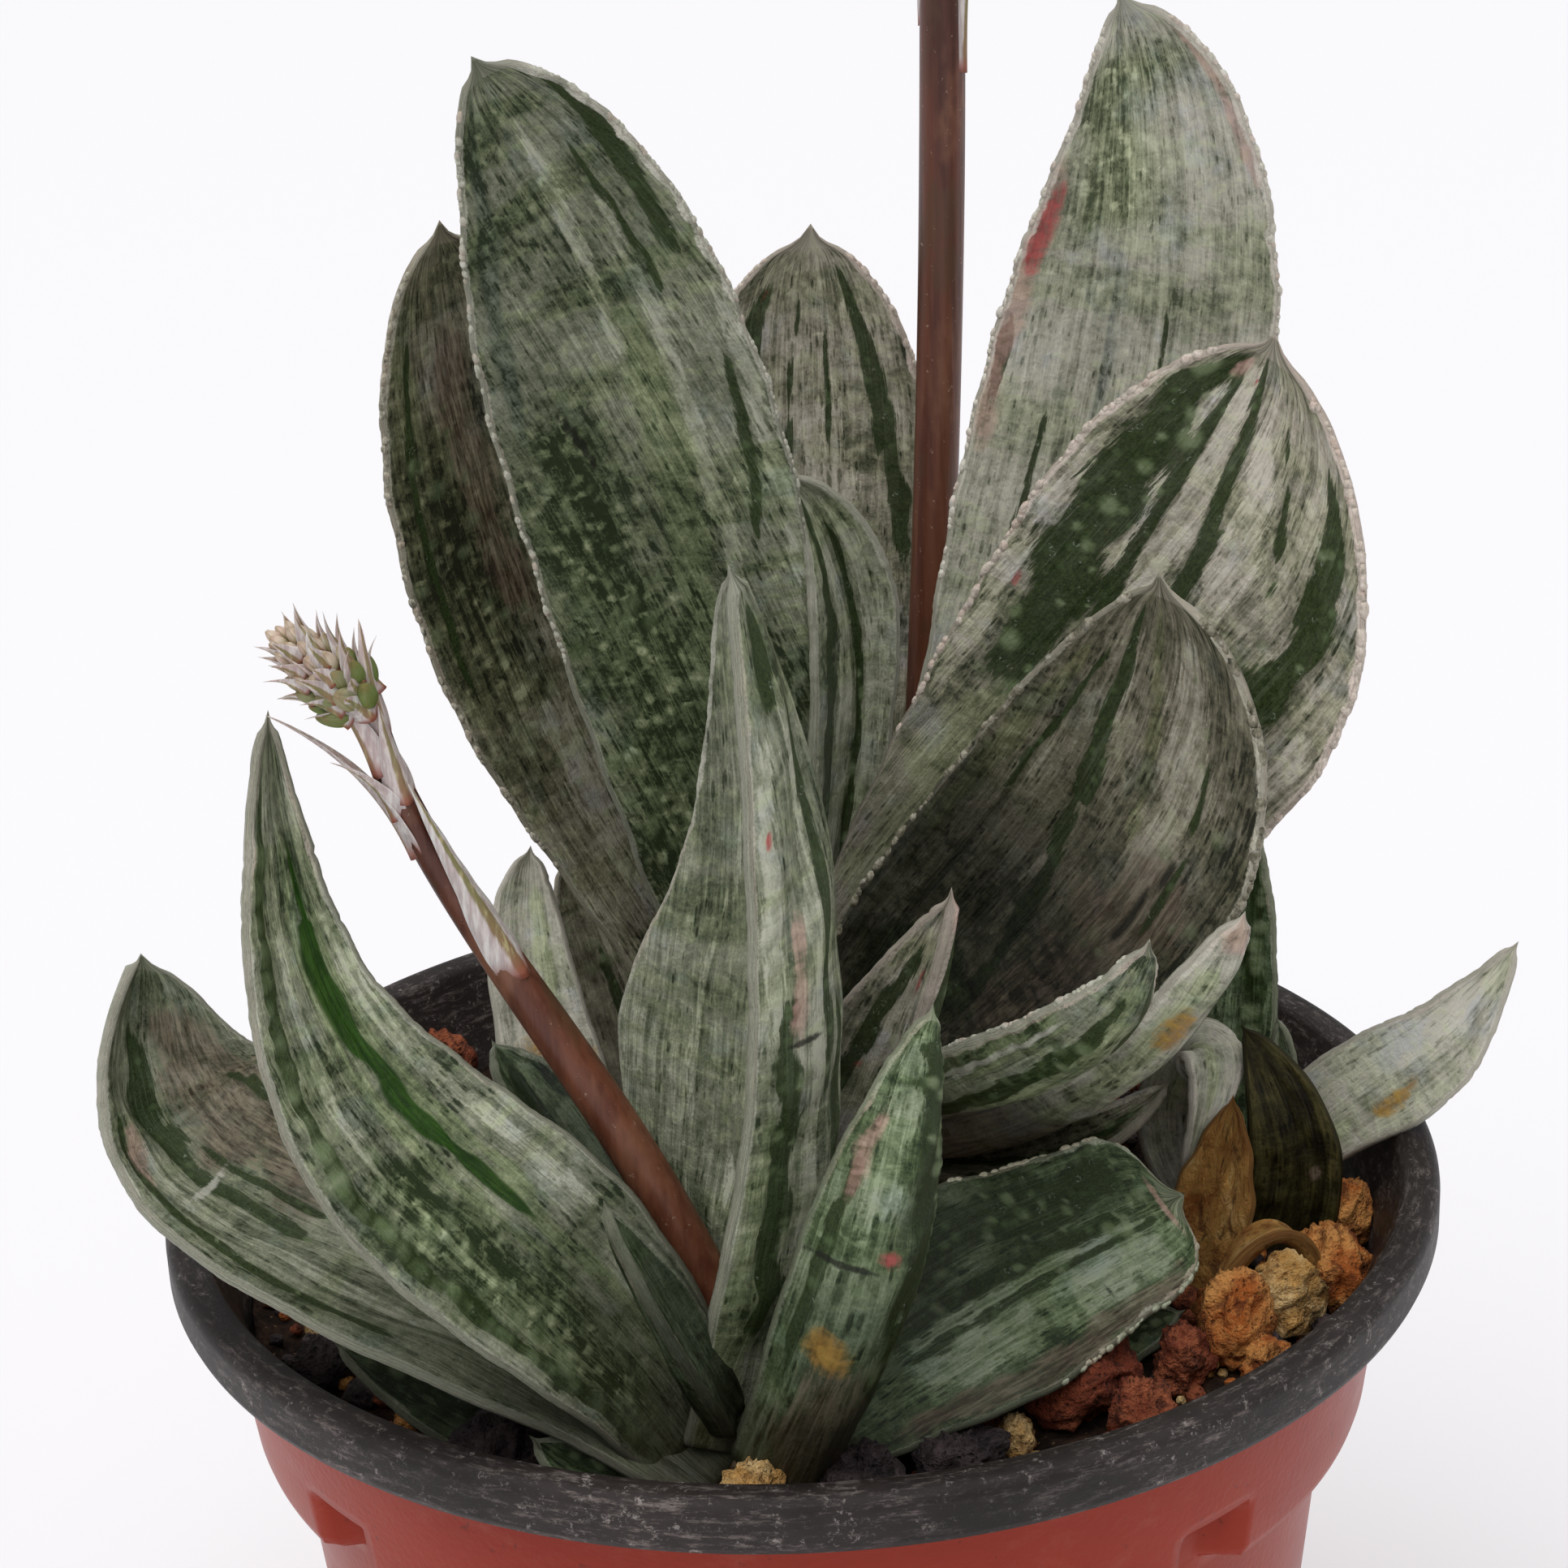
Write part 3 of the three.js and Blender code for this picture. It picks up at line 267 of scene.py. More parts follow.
LEAVES = {
    "front_leaf_centre": dict(
        path=[(-7, -40, 2.5), (-1, -36, 21.5), (2, -35, 47), (-3, -38, 79)],
        face=[(-0.9, -0.3, 0), (-0.95, -0.3, 0)], left=(5, 14, 20, 12, 6), right=(7, 10, 10, 9, 5),
        fold=(35, 50), thick=FLESHY, round=(0.62, 2.8, 0.5), wave=(0.3, 9),
        skin="grey", pale=0.55, green=0.45, seen="o", crust=(0.45, 0.12), shade=(0.05, 0.42, 0.5),
        point=1.2,
        stripes=[("dark", 0.66, 0.74, 1.2, 0.2, 0.63), ("pink", 0.62, 0.6, 0.8, 0.58, 0.72),
            ("dark", 0.6, 0.55, 1, 0.9, 0.98), ("pale", 0.42, 0.42, 0.6, 0.3, 0.9),
            ("pale", 0.85, 0.85, 0.9, 0.6, 0.88), ("dark", 0.3, 0.3, 0.5, 0.5, 0.9),
            ("red", 0.86, 0.86, 0.25, 0.79, 0.81), ("slit", 0.55, 0.55, 1.8, 0.578, 0.586),
            ("dark", 0.12, 0.15, 0.7, 0.05, 0.6), ("i", "pale", -0.7, -0.6, 0.3, 0.1, 0.8),
            ("i", "pale", -0.4, -0.35, 0.3, 0.3, 0.9), ("i", "green", -0.05, 0, 0.8, 0, 0.8),
            ("green", 0.9, 0.8, 1.6, 0, 0.5)], spots=[(30, 0.7, 0.05, 0.55, 0.1, 0.95)],
        beads=[(0.88, 0.2, 0.93, 0.75)]),
    "front_leaf_finger": dict(
        path=[(-2, -45.5, 2.5), (5, -49, 22.5), (8.5, -46, 34), (11, -42, 42.5)],
        face=[(-0.3, 1, 0.2)], left=(5, 6, 5.5, 3.5, 2), fold=(25, 25), thick=FLESHY,
        wave=(0.2, 5),
        skin="green", pale=0.4, green=0.5, seen="o", crust=(0.3, 0.3), shade=(0, 1, (0.75, 0.45)),
        stripes=[("dark", -0.55, -0.45, 1.9, 0.1, 0.95), ("red", -0.02, 0, 0.8, 0.385, 0.42),
            ("yellow", 0.3, 0.3, 1.5, 0.19, 0.26), ("slit", 0.5, 0.5, 2.4, 0.366, 0.376),
            ("pink", 0.7, 0.6, 0.8, 0.5, 0.72), ("pale", 0.35, 0.25, 1, 0.45, 0.97),
            ("dark", 0.75, 0.7, 0.6, 0.15, 0.6), ("brown", 0, 0, 3, 0, 0.2)],
        spots=[(18, 0.8, 0.15, 0.9, -0.9, -0.1)], beads=[(-0.85, 0.1, 0.9, 0.7)]),
    "front_leaf_arched": dict(
        path=[(-9.5, -41.5, 5), (-24.5, -40, 25.5), (-36.3, -37, 40.5), (-42, -27, 64.5)],
        face=[(0.2, -1, 0.9), (0.7, -0.9, 0.4)], left=(7, 12, 13, 9, 4.5),
        right=(5, 8, 6.5, 3.5, 2.2), fold=(25, 25), thick=FLESHY, wave=(0.3, 9),
        skin="grey", pale=0.45, green=0.5, crust=(0.3, 0.25), shade=(0.05, 0.45, 0.6), point=1,
        stripes=[("bright", 0.13, -0.02, 0.8, 0.3, 0.9), ("dark", -0.84, -0.8, 0.8, 0.02, 0.95),
            ("green", -0.1, -0.25, 0.8, 0.2, 0.9), ("pale", 0.7, 0.7, 0.7, 0.25, 0.95),
            ("pale", -0.55, -0.5, 0.5, 0.3, 0.9), ("green", 0.2, 0.15, 1, 0, 0.9),
            ("green", 0.4, 0.3, 0.5, 0.3, 0.85), ("band", -0.5, -0.5, 4, 0.05, 0.5)],
        spots=[(22, 1.15, 0.03, 0.7, -0.9, -0.3)], beads=[(-0.84, 0.02, 0.9, 1.1)]),
    "front_leaf_low_left": dict(
        path=[(-8, -44, 1.5), (-34, -33.5, 15), (-54, -25.5, 23), (-56.5, -20, 40.5)],
        face=[(0.2, -0.7, 1), (0.9, -0.6, 0.5)], left=(6, 11, 10, 7.5, 4),
        right=(6, 11, 14, 15.5, 13), fold=(30, 30), thick=FLESHY, round=BLUNT, wave=(0.4, 7),
        skin="grey", pale=0.45, green=0.35, crust=(0.4, 0.25), shade=(0.08, 0.5, 0.7), point=0.7,
        stripes=[("dark", -0.02, 0, 0.9, 0.45, 0.93), ("brown", 0.5, 0.5, 5, 0.3, 0.95),
            ("pale", -0.45, -0.5, 0.8, 0.2, 0.9), ("pink", -0.6, -0.6, 1.2, 0.66, 0.78),
            ("white", -0.1, -0.1, 2.5, 0.598, 0.61), ("dark", 0.2, 0.12, 0.4, 0.4, 0.9),
            ("dark", 0.75, 0.6, 0.5, 0.4, 0.8), ("dark", -0.8, -0.75, 0.6, 0.3, 0.8)],
        spots=[(16, 0.55, 0.1, 0.6, -0.9, 0.3)], beads=[(-0.9, 0.1, 0.9, 0.6)]),
    "front_leaf_low_right": dict(
        path=[(-2, -43, 2), (8.5, -35, 7.5), (21.5, -26, 10), (33, -18, 11)],
        face=[(-0.1, -0.8, 0.8)], left=(4, 8.5, 10.5, 8.5, 8), right=(4, 8, 10.2, 8.6, 7),
        fold=(10, 10), thick=STOUT, round=(0.74, 4.5, 0.38), wave=(0.3, 6),
        skin="green", pale=0.36, green=0.5, crust=(0.5, 0.5), shade=(0.3, 1.3, (0.95, 0.6)),
        teeth=0.42, bead_from=0.5,
        stripes=[("dark", -0.55, -0.6, 2.6, 0.3, 0.9), ("dark", -0.1, -0.1, 0.8, 0.2, 0.9),
            ("pale", 0.4, 0.45, 2.6, 0.3, 0.98), ("pink", 0, 0, 6, 0.965, 0.985),
            ("dark", 0.2, 0.12, 0.5, 0.3, 0.95), ("brown", 0.85, 0.9, 1.2, 0.2, 0.9),
            ("pale", 0.05, 0.1, 0.9, 0.3, 0.95), ("slit", 0.6, 0.6, 1.2, 0.72, 0.73)],
        spots=[(20, 0.8, 0.25, 0.95, -0.9, 0.2), (20, 0.5, 0.25, 0.95, -0.9, 0)],
        beads=[(-0.88, 0.3, 0.9, 0.7)]),
    "front_leaf_inner_right": dict(
        path=[(-3, -35, 3), (3, -29, 17), (9, -27.5, 31.5), (13.5, -30, 47)],
        face=[(-0.8, -0.6, 0.2)], left=(5, 8, 9, 6, 3), right=(3, 4, 4, 3, 2), fold=(35, 40),
        thick=FLESHY, wave=(0.2, 6),
        skin="rosy", pale=0.4, green=0.5, seen="o", shade=(0.25, 0.95, 0.85),
        stripes=[("dark", 0.5, 0.5, 3, 0.1, 0.95), ("i", "pale", -0.3, -0.3, 2, 0.3, 0.95),
            ("i", "dark", -0.6, -0.5, 0.9, 0.3, 0.9), ("i", "red", -0.15, -0.1, 0.3, 0.8, 0.86),
            ("i", "red", -0.5, -0.45, 0.3, 0.6, 0.64), ("pink", 0.3, 0.3, 2, 0.95, 1)],
        spots=[(16, 0.7, 0.3, 0.9, 0.1, 0.9)]),
    "front_leaf_under_stalk": dict(
        path=[(-8, -40, 5), (-14, -34.5, 16.5), (-21, -25.5, 24.5), (-26.5, -17, 29)],
        face=[(0.3, -0.6, 1)], left=(3, 4, 5, 4, 2), right=(4, 5, 5, 4, 2), fold=(30, 30),
        wave=(0.2, 6),
        skin="green", pale=0.3, green=0.6, shade=(0.7, 1.3, 0.85),
        stripes=[("dark", -0.3, -0.2, 1.2, 0.1, 0.9), ("pale", 0.4, 0.4, 1, 0.2, 0.9)],
        spots=[(26, 0.9, 0.1, 0.7, -0.4, 0.8)]),
    "front_leaf_young": dict(
        path=[(-7, -44, 7), (-11.5, -46.5, 19), (-15.7, -46, 28.3)], face=[(0.5, -0.6, 1)],
        left=(2, 2.5, 2.5, 1.8, 1), fold=(30, 30),
        skin="green", pale=0.35, green=0.6, shade=(0.4, 1.6, 0.95),
        stripes=[("pale", -0.6, -0.6, 0.6, 0.1, 0.95)], spots=[(8, 0.5, 0.2, 0.8, -0.6, 0.6)]),
    "front_leaf_buried_left": dict(
        path=[(-16, -38.5, -2), (-28, -35, 1), (-41, -28.5, 6)], face=[(0.1, -0.5, 1)],
        left=(3, 3, 3.4, 2.6, 1.6), fold=(15, 15),
        skin="green", pale=0.3, green=0.6, shade=(0.3, 1.6, 0.85),
        stripes=[("dark", 0.3, 0.3, 1, 0.1, 0.9)], spots=[(14, 0.7, 0.1, 0.9, -0.9, 0.9)]),
    "front_leaf_at_rim": dict(
        path=[(-9, -47, -1), (-16, -47.5, 2.5), (-23, -44, 5.5)], face=[(0.1, -0.6, 1)],
        left=(3, 3, 3, 2.4, 1.5), fold=(15, 15),
        skin="green", pale=0.3, green=0.6, shade=(0.1, 1.4, 0.6),
        stripes=[("dark", 0.2, 0.2, 1, 0.1, 0.9)], spots=[(12, 0.6, 0.1, 0.9, -0.9, 0.9)]),
    "rear_leaf_broad_front": dict(
        path=[(5, 14, 8), (16, 5, 27), (27, -2.5, 45), (33, -10, 67)], face=[(-0.3, -1, 0.6)],
        left=(6, 10, 11, 10, 8), right=(8, 16, 20.5, 19.5, 16), fold=(15, 15), thick=STOUT,
        round=OVAL, wave=(0.4, 8),
        skin="brownish", pale=0.4, green=0.3, crust=(0.25, 0.8), shade=(0.4, 0.8, 1.1), teeth=0.55,
        bead_from=0.22, bead_pale=0.3,
        stripes=[("dark", 0.3, -0.25, 0.95, 0.3, 0.975), ("green", 0.34, 0.1, 0.8, 0.68, 0.97),
            ("pale", 0.5, 0.45, 3, 0.6, 0.95), ("green", -0.9, -0.75, 1.2, 0.45, 0.9),
            ("dark", -0.6, -0.5, 0.35, 0.6, 0.9), ("dark", 0.7, 0.6, 0.35, 0.5, 0.85),
            ("pale", 0.1, -0.1, 0.45, 0.4, 0.95), ("brown", 0.6, 0.6, 5, 0.2, 0.7),
            ("dark", -0.1, -0.1, 5, 0, 0.35), ("slit", 0.55, 0.62, 0.35, 0.55, 0.72)],
        spots=[(14, 0.8, 0.5, 0.95, 0.4, 0.95)], beads=[(-0.9, 0.25, 0.78, 1)]),
    "rear_leaf_spotted": dict(
        path=[(4, 17, 9), (18, 12.5, 35), (33, 7, 60), (44, 0, 85)], face=[(-0.4, -1, 0.5)],
        left=(7, 10, 12.5, 13, 11), right=(7, 14.5, 23, 25, 18.5), fold=(12, 15), thick=STOUT,
        round=OVAL, wave=(0.4, 9),
        skin="rosy", pale=0.55, green=0.4, crust=(0.75, 0.9), shade=(0.2, 0.62, 0.72), teeth=0.52,
        bead_from=0.4, shear=-0.15,
        stripes=[("pale", -0.9, -0.86, 0.9, 0.45, 0.82), ("dark", -0.48, -0.62, 3.3, 0.5, 0.985),
            ("pale", -0.2, -0.42, 0.8, 0.68, 0.94), ("dark", -0.14, -0.25, 0.8, 0.5, 0.97),
            ("pale", 0, -0.06, 1.5, 0.55, 0.985), ("dark", 0.22, 0.06, 1.1, 0.5, 0.99),
            ("pale", 0.4, 0.25, 2.2, 0.45, 0.92), ("dark", 0.5, 0.42, 0.5, 0.78, 0.94),
            ("dark", 0.56, 0.84, 2.2, 0.52, 0.93), ("red", -0.8, -0.8, 0.4, 0.6, 0.625),
            ("red", 0, 0, 0.35, 0.955, 0.966), ("pink", -0.35, -0.3, 1.6, 0.955, 0.985),
            ("green", -0.4, -0.4, 4.5, 0.1, 0.5), ("brown", 0.2, 0.2, 3, 0.1, 0.5),
            ("pale", 0.85, 0.9, 1.2, 0.3, 0.7)],
        spots=[(11, 1.3, 0.5, 0.97, -0.8, -0.3), (14, 0.6, 0.5, 0.97, -0.8, -0.2),
            (6, 1.05, 0.52, 0.9, 0.5, 0.85), (9, 0.55, 0.5, 0.9, 0.5, 0.9)],
        beads=[(-0.93, 0.35, 0.9, 0.6)]),
    "rear_leaf_tall_left": dict(
        path=[(-3, 20, 9), (-10.5, 20.5, 44), (-15.5, 17.5, 79), (-23.5, 4, 111.5)],
        face=[(0.35, -1, 0.3), (0.25, -1, 0.1)], left=(4, 7, 10, 11, 8), right=(8, 13, 16, 14, 11),
        fold=(10, 14), thick=STOUT, round=BLUNT, wave=(0.4, 11),
        skin="grey", pale=0.4, green=0.62, crust=(0.15, 0.8), teeth=0.4, bead_from=0.45,
        shear=0.25,
        stripes=[("dark", 0.78, 0.93, 1.1, 0.78, 0.985), ("dark", 0.62, 0.45, 0.35, 0.74, 0.93),
            ("slate", -0.8, -0.75, 1, 0.66, 0.98), ("pale", 0.2, 0.1, 0.9, 0.7, 0.94),
            ("slit", -0.2, -0.45, 0.4, 0.6, 0.67), ("dark", 0.74, 0.84, 0.5, 0.5, 0.68),
            ("pale", 0.93, 0.93, 0.8, 0.45, 0.75), ("band", -0.25, -0.25, 6, 0.16, 0.5),
            ("band", -0.5, -0.5, 5, 0.42, 0.66), ("pale", 0.6, 0.45, 0.8, 0.35, 0.85),
            ("green", 0.35, 0.3, 2.4, 0.2, 0.75)],
        spots=[(34, 0.95, 0.18, 0.5, -0.9, 0.4), (20, 0.55, 0.4, 0.66, -0.9, 0.2)],
        beads=[(-0.95, 0.4, 0.97, 0.35)]),
    "rear_leaf_tall_right": dict(
        path=[(8, 19, 11), (24, 22.5, 45.5), (33.5, 23, 80), (32.5, 14, 113)],
        face=[(-0.1, -1, 0.2)], left=(6, 9, 12.5, 11, 4.5), right=(7, 12, 15, 14, 12),
        fold=(12, 12), thick=STOUT, round=BLUNT, wave=(0.4, 11),
        skin="silver", pale=0.66, green=0.45, crust=(0.5, 0.7), shade=(0.1, 0.5, 0.55), teeth=0.42,
        bead_from=0.45,
        stripes=[("red", -0.88, -0.88, 1.2, 0.735, 0.84), ("dark", -0.93, -0.93, 0.6, 0.6, 0.69),
            ("pink", 0.95, 0.9, 0.8, 0.82, 0.98), ("dark", -0.55, -0.5, 0.4, 0.35, 0.6),
            ("band", -0.3, -0.2, 5, 0.78, 0.96), ("pink", -0.94, -0.94, 1.4, 0.55, 0.86),
            ("dark", 0.3, 0.25, 0.3, 0.4, 0.8), ("slate", -0.1, -0.1, 0.5, 0.5, 0.75),
            ("green", 0.4, 0.35, 2, 0.2, 0.6)],
        spots=[(12, 0.7, 0.45, 0.95, -0.8, 0.9), (14, 0.8, 0.2, 0.45, -0.9, 0.9)],
        beads=[(-0.95, 0.45, 0.9, 0.5)]),
    "rear_leaf_low_front": dict(
        path=[(5, 13, 5), (10, -8, 18), (21, -23.5, 28.5), (30, -28, 41)], face=[(-0.3, 1, 0.2)],
        left=(5, 5.5, 5.5, 5, 3), fold=(15, 15), thick=FLESHY, round=BLUNT, wave=(0.4, 5),
        skin="grey", pale=0.5, green=0.5, seen="o", crust=(0.4, 0.3), teeth=0.44, bead_from=0.35,
        stripes=[("dark", -0.7, -0.7, 0.7, 0.7, 0.97), ("green", 0.8, 0.8, 1.4, 0.3, 0.8),
            ("dark", 0.2, 0.2, 0.8, 0.4, 0.9), ("green", -0.1, 0, 1.6, 0.5, 0.95),
            ("white", 0.7, 0.8, 0.3, 0.5, 0.8), ("brown", 0, 0, 4, 0, 0.5)],
        spots=[(16, 0.75, 0.35, 0.95, -0.6, 0.9)], beads=[(0.85, 0.3, 0.8, 1.3)]),
    "rear_leaf_low_finger": dict(
        path=[(8, 9, 5), (27, -13.5, 21.5), (39, -21, 40)], face=[(-0.5, 0.8, 0.3)],
        left=(4, 4, 3.8, 3.6, 2.5), fold=(15, 15), thick=FLESHY, round=(0.72, 4, 0.45),
        wave=(0.3, 5),
        skin="silver", pale=0.5, green=0.5, seen="o", crust=(0.4, 0.4),
        stripes=[("pink", 0, 0, 3, 0.93, 1), ("yellow", 0.3, 0.4, 1.2, 0.68, 0.8),
            ("green", 0.5, 0.5, 1, 0.4, 0.9), ("dark", -0.5, -0.5, 0.4, 0.4, 0.85)],
        spots=[(8, 0.7, 0.4, 0.9, -0.7, 0.7)]),
    "rear_leaf_low_dark": dict(
        path=[(9, 13, 2), (22, -4, 8.5), (34.5, -3, 15)], face=[(-0.3, -0.6, 1)],
        left=(2.5, 3, 3, 2.4, 1.5), fold=(25, 25),
        skin="brownish", pale=0.4, green=0.4,
        stripes=[("dark", 0.2, 0.2, 0.8, 0.2, 0.9)], spots=[(10, 0.7, 0.2, 0.9, -0.7, 0.7)]),
    "rear_leaf_behind_left": dict(
        path=[(-3, 23, 8), (-18, 30, 35), (-27, 31, 64), (-30, 26, 92.5)], face=[(0.5, -1, 0.3)],
        left=(6, 9, 12.5, 12, 10), right=(8, 11, 13, 12, 10), fold=(15, 15), thick=STOUT,
        round=BLUNT, wave=(0.4, 10),
        skin="brownish", pale=0.56, green=0.5, crust=(0.4, 0.4), teeth=0.46, bead_from=0.3,
        bead_pale=0.55,
        stripes=[("brown", -0.1, -0.2, 2.2, 0.55, 0.9), ("green", -0.8, -0.8, 2, 0.45, 0.95),
            ("pale", -0.2, -0.2, 2.4, 0.15, 0.45), ("band", -0.5, -0.5, 6, 0.45, 0.8),
            ("dark", -0.8, -0.75, 0.5, 0.5, 0.9)],
        spots=[(22, 1, 0.35, 0.9, -0.95, -0.1), (16, 0.8, 0.35, 0.9, -0.9, 0.3)],
        beads=[(-0.95, 0.3, 0.95, 0.4)]),
    "rear_leaf_back": dict(
        path=[(3, 25, 8), (3.5, 36, 34), (4.5, 42, 60), (5, 42, 87)], face=[(0, -1, 0.5)],
        left=(6, 8, 11, 13, 14), right=(6, 9, 12, 12.5, 11), fold=(15, 15), thick=STOUT,
        round=BLUNT, wave=(0.4, 9),
        skin="rosy", pale=0.58, green=0.4, crust=(0.5, 0.6), teeth=0.4, bead_from=0.55,
        stripes=[("dark", 0.75, 0.5, 1.2, 0.6, 0.97), ("dark", -0.7, -0.6, 1.6, 0.7, 0.95),
            ("dark", -0.25, -0.2, 0.35, 0.6, 0.95), ("pale", 0.2, 0.1, 2.4, 0.4, 0.8),
            ("red", -0.6, -0.6, 0.4, 0.93, 0.95), ("dark", 0.2, 0.1, 0.3, 0.5, 0.9)],
        spots=[(12, 0.7, 0.3, 0.95, -0.9, 0.9)], beads=[(-0.95, 0.4, 0.95, 0.4)]),
    "rear_leaf_folded": dict(
        path=[(1, 23, 12), (5.5, 25, 33), (7, 26, 52), (2, 22, 68.5)], face=[(0.5, -1, 0)],
        left=(4, 6.5, 8, 7, 4), right=(3, 3.5, 4, 5, 5), fold=(35, 35), thick=FLESHY,
        wave=(0.2, 7),
        skin="grey", pale=0.66, green=0.5,
        stripes=[("dark", -0.75, -0.6, 0.8, 0.1, 0.97), ("dark", 0.1, 0.1, 0.6, 0.2, 0.9),
            ("pale", -0.35, -0.3, 1.2, 0.2, 0.95), ("pale", 0.6, 0.5, 1, 0.2, 0.95)],
        spots=[(20, 0.7, 0.2, 0.6, -0.9, 0.5)]),
    "right_leaf_over_rim": dict(
        path=[(44, 5, -1), (52, 2.5, 10), (59, 1, 16.5), (67.5, 0, 26.5)], face=[(-0.2, -1, 0.6)],
        left=(3, 4, 3.8, 2.4, 1.2), right=(3.5, 4.5, 6, 5.5, 3), fold=(12, 12), wave=(0.2, 4),
        skin="silver", pale=0.85, green=0.4, shade=(0, 0.3, 0.3),
        stripes=[("yellow", 0.6, 0.5, 0.9, 0.4, 0.62), ("green", 0.5, 0.5, 1, 0.05, 0.35),
            ("pale", -0.2, -0.1, 1.2, 0.3, 0.95)], spots=[(10, 0.7, 0.1, 0.5, 0, 0.8)]),
    "right_leaf_broad_short": dict(
        path=[(44, -5, -4), (46.5, -6, 9), (42, -4, 21)], face=[(-0.1, -1, 0.3)],
        left=(5, 5.5, 4.5, 3.5, 2), right=(3.5, 4, 4, 3, 2), fold=(12, 12), wave=(0.2, 4),
        skin="olive", pale=0.35, green=0.35,
        stripes=[("pale", 0.9, 0.9, 0.5, 0.2, 0.97), ("brown", 0.4, 0.4, 0.6, 0.42, 0.46)]),
    "right_leaf_curled": dict(
        path=[(38, 1, 0), (35.5, 1, 12), (38.5, -3, 18.5), (36, -6.5, 8)],
        face=[(0, -0.3, 1), (0.5, -1, 0.3)], left=(2, 2.8, 3, 3, 2), fold=(10, 10),
        skin="silver", pale=0.8, green=0.4, shade=(0, 0.1, 0.1),
        stripes=[("green", 0.1, 0.1, 0.8, 0.3, 0.9)], spots=[(14, 0.7, 0.3, 0.9, -0.8, 0.8)]),
    "right_leaf_rear": dict(
        path=[(41, 6, -2), (44, 16, 14), (46.5, 23, 30.5)], face=[(-0.3, -1, 0.3)],
        left=(4, 5, 5, 4, 2), right=(4, 4.5, 4, 3, 1.5), fold=(15, 15), wave=(0.2, 4),
        skin="green", pale=0.4, green=0.55,
        stripes=[("dark", 0.5, 0.4, 1.2, 0.3, 0.95)], spots=[(26, 1, 0.3, 0.95, -0.8, 0.8)]),
    "right_leaf_bud": dict(
        path=[(46, 6, 0), (47.5, 8, 8), (47, 8.5, 15.5)], face=[(-0.3, -1, 1)],
        left=(2, 2, 1.8, 1.2, 0.8), fold=(20, 20), thick=(2, 2, 1.8, 1.5, 1.2),
        skin="green", pale=0.5, green=0.5),
    "right_dry_leaf": dict(
        path=[(35, -11.5, -3), (38, -10, 5), (40.5, -6, 14.5)], face=[(-0.4, -1, 0.3)],
        left=(4, 4.5, 4, 3, 2), fold=(10, 10), thick=PAPERY, wave=(0.5, 5),
        skin="dry", pale=0.5, green=0),
    "right_dry_scrap": dict(
        path=[(36.5, -19, -1), (40.5, -18, 6.5), (44.5, -17, 6.5), (47, -16.5, 1)],
        face=[(0, 0.2, 1)], left=(1.5, 1.8, 1.8, 1.4, 1), fold=(10, 10), thick=PAPERY,
        skin="dry", pale=0.4, green=0),
    "right_leaf_sprout": dict(
        path=[(23, -25, -3), (28.5, -23, 0), (33.5, -20.5, 1)], face=[(0, -0.6, 1)],
        left=(2.2, 2.4, 2.4, 2, 1), fold=(15, 15), thick=(2.5, 2.5, 2.2, 1.8, 1.2),
        skin="green", pale=0.35, green=0.6,
        stripes=[("dark", 0, 0, 1, 0.1, 0.9)], spots=[(6, 0.6, 0.2, 0.9, -0.7, 0.7)]),
    "left_leaf_pale": dict(
        path=[(-22, 20, -1), (-26, 23.5, 14), (-26, 28, 28.5)], face=[(0.1, -1, 0.5)],
        left=(4, 5, 4.5, 4, 3), right=(4, 5, 4.5, 3.5, 2.5), fold=(15, 15), round=BLUNT,
        wave=(0.2, 4),
        skin="silver", pale=0.85, green=0.35,
        stripes=[("yellow", 0, 0, 4, 0.15, 0.4), ("green", 0.5, 0.3, 1, 0.5, 0.9)],
        spots=[(12, 0.8, 0.4, 0.9, -0.8, 0.8)]),
    "left_leaf_shaded": dict(
        path=[(-16, 25, -1), (-20, 33, 13), (-23.5, 37, 23)], face=[(0.3, -1, 0.5)],
        left=(4, 4.5, 4, 3, 2), fold=(15, 15), wave=(0.2, 4),
        skin="brownish", pale=0.55, green=0.4, spots=[(12, 0.8, 0.4, 0.9, -0.8, 0.8)]),
}

# Skin colours from dark streaks through the middle tones to pale ones, and the horny margin.
SKINS = {
    "grey": [(46, 55, 36), (112, 118, 96), (150, 153, 131), (196, 197, 178), (226, 223, 209)],
    "silver": [(82, 87, 70), (154, 154, 137), (192, 190, 174), (224, 220, 206), (236, 229, 216)],
    "rosy": [(56, 60, 45), (128, 126, 108), (176, 170, 153), (218, 211, 198), (236, 220, 208)],
    "brownish": [(40, 41, 29), (101, 98, 80), (138, 133, 115), (182, 177, 160), (214, 210, 191)],
    "green": [(34, 46, 25), (84, 98, 69), (124, 137, 108), (170, 179, 154), (200, 204, 180)],
    "olive": [(22, 18, 6), (48, 44, 22), (74, 68, 38), (106, 98, 62), (140, 118, 66)],
}
# Paint channels: an attribute and one of its four values.
STRIPE_CHANNEL = {
    "dark": ("zone_a", 0), "bright": ("zone_a", 1), "pale": ("zone_a", 2),
    "red": ("zone_b", 0), "brown": ("zone_b", 1), "yellow": ("zone_b", 2),
    "green": ("zone_c", 0), "slate": ("zone_c", 1), "pink": ("zone_c", 2),
    "band": ("zone_d", 0), "slit": ("zone_e", 0), "white": ("zone_e", 1),
}
# Painted shade: how much each point of a leaf is darkened as if it lay in shade.
SHADE = ("zone_e", 2)
PALE_SHARE = ("zone_a", 3)
GREEN_SHARE = ("zone_c", 3)
SPOT = ("zone_d", 1)
MARGIN = ("zone_d", 2)
CRUST = ("zone_d", 3)
# Leaf foot: an earthy colour over the first 7 mm, and a darkening over the lowest 30% of the leaf
# that is painted shade.
FOOT = ("zone_b", 3)
ZONES = ("zone_a", "zone_b", "zone_c", "zone_d", "zone_e")


# ---- curves ----
def unit(v):
    return v / np.linalg.norm(v, axis=-1, keepdims=True)


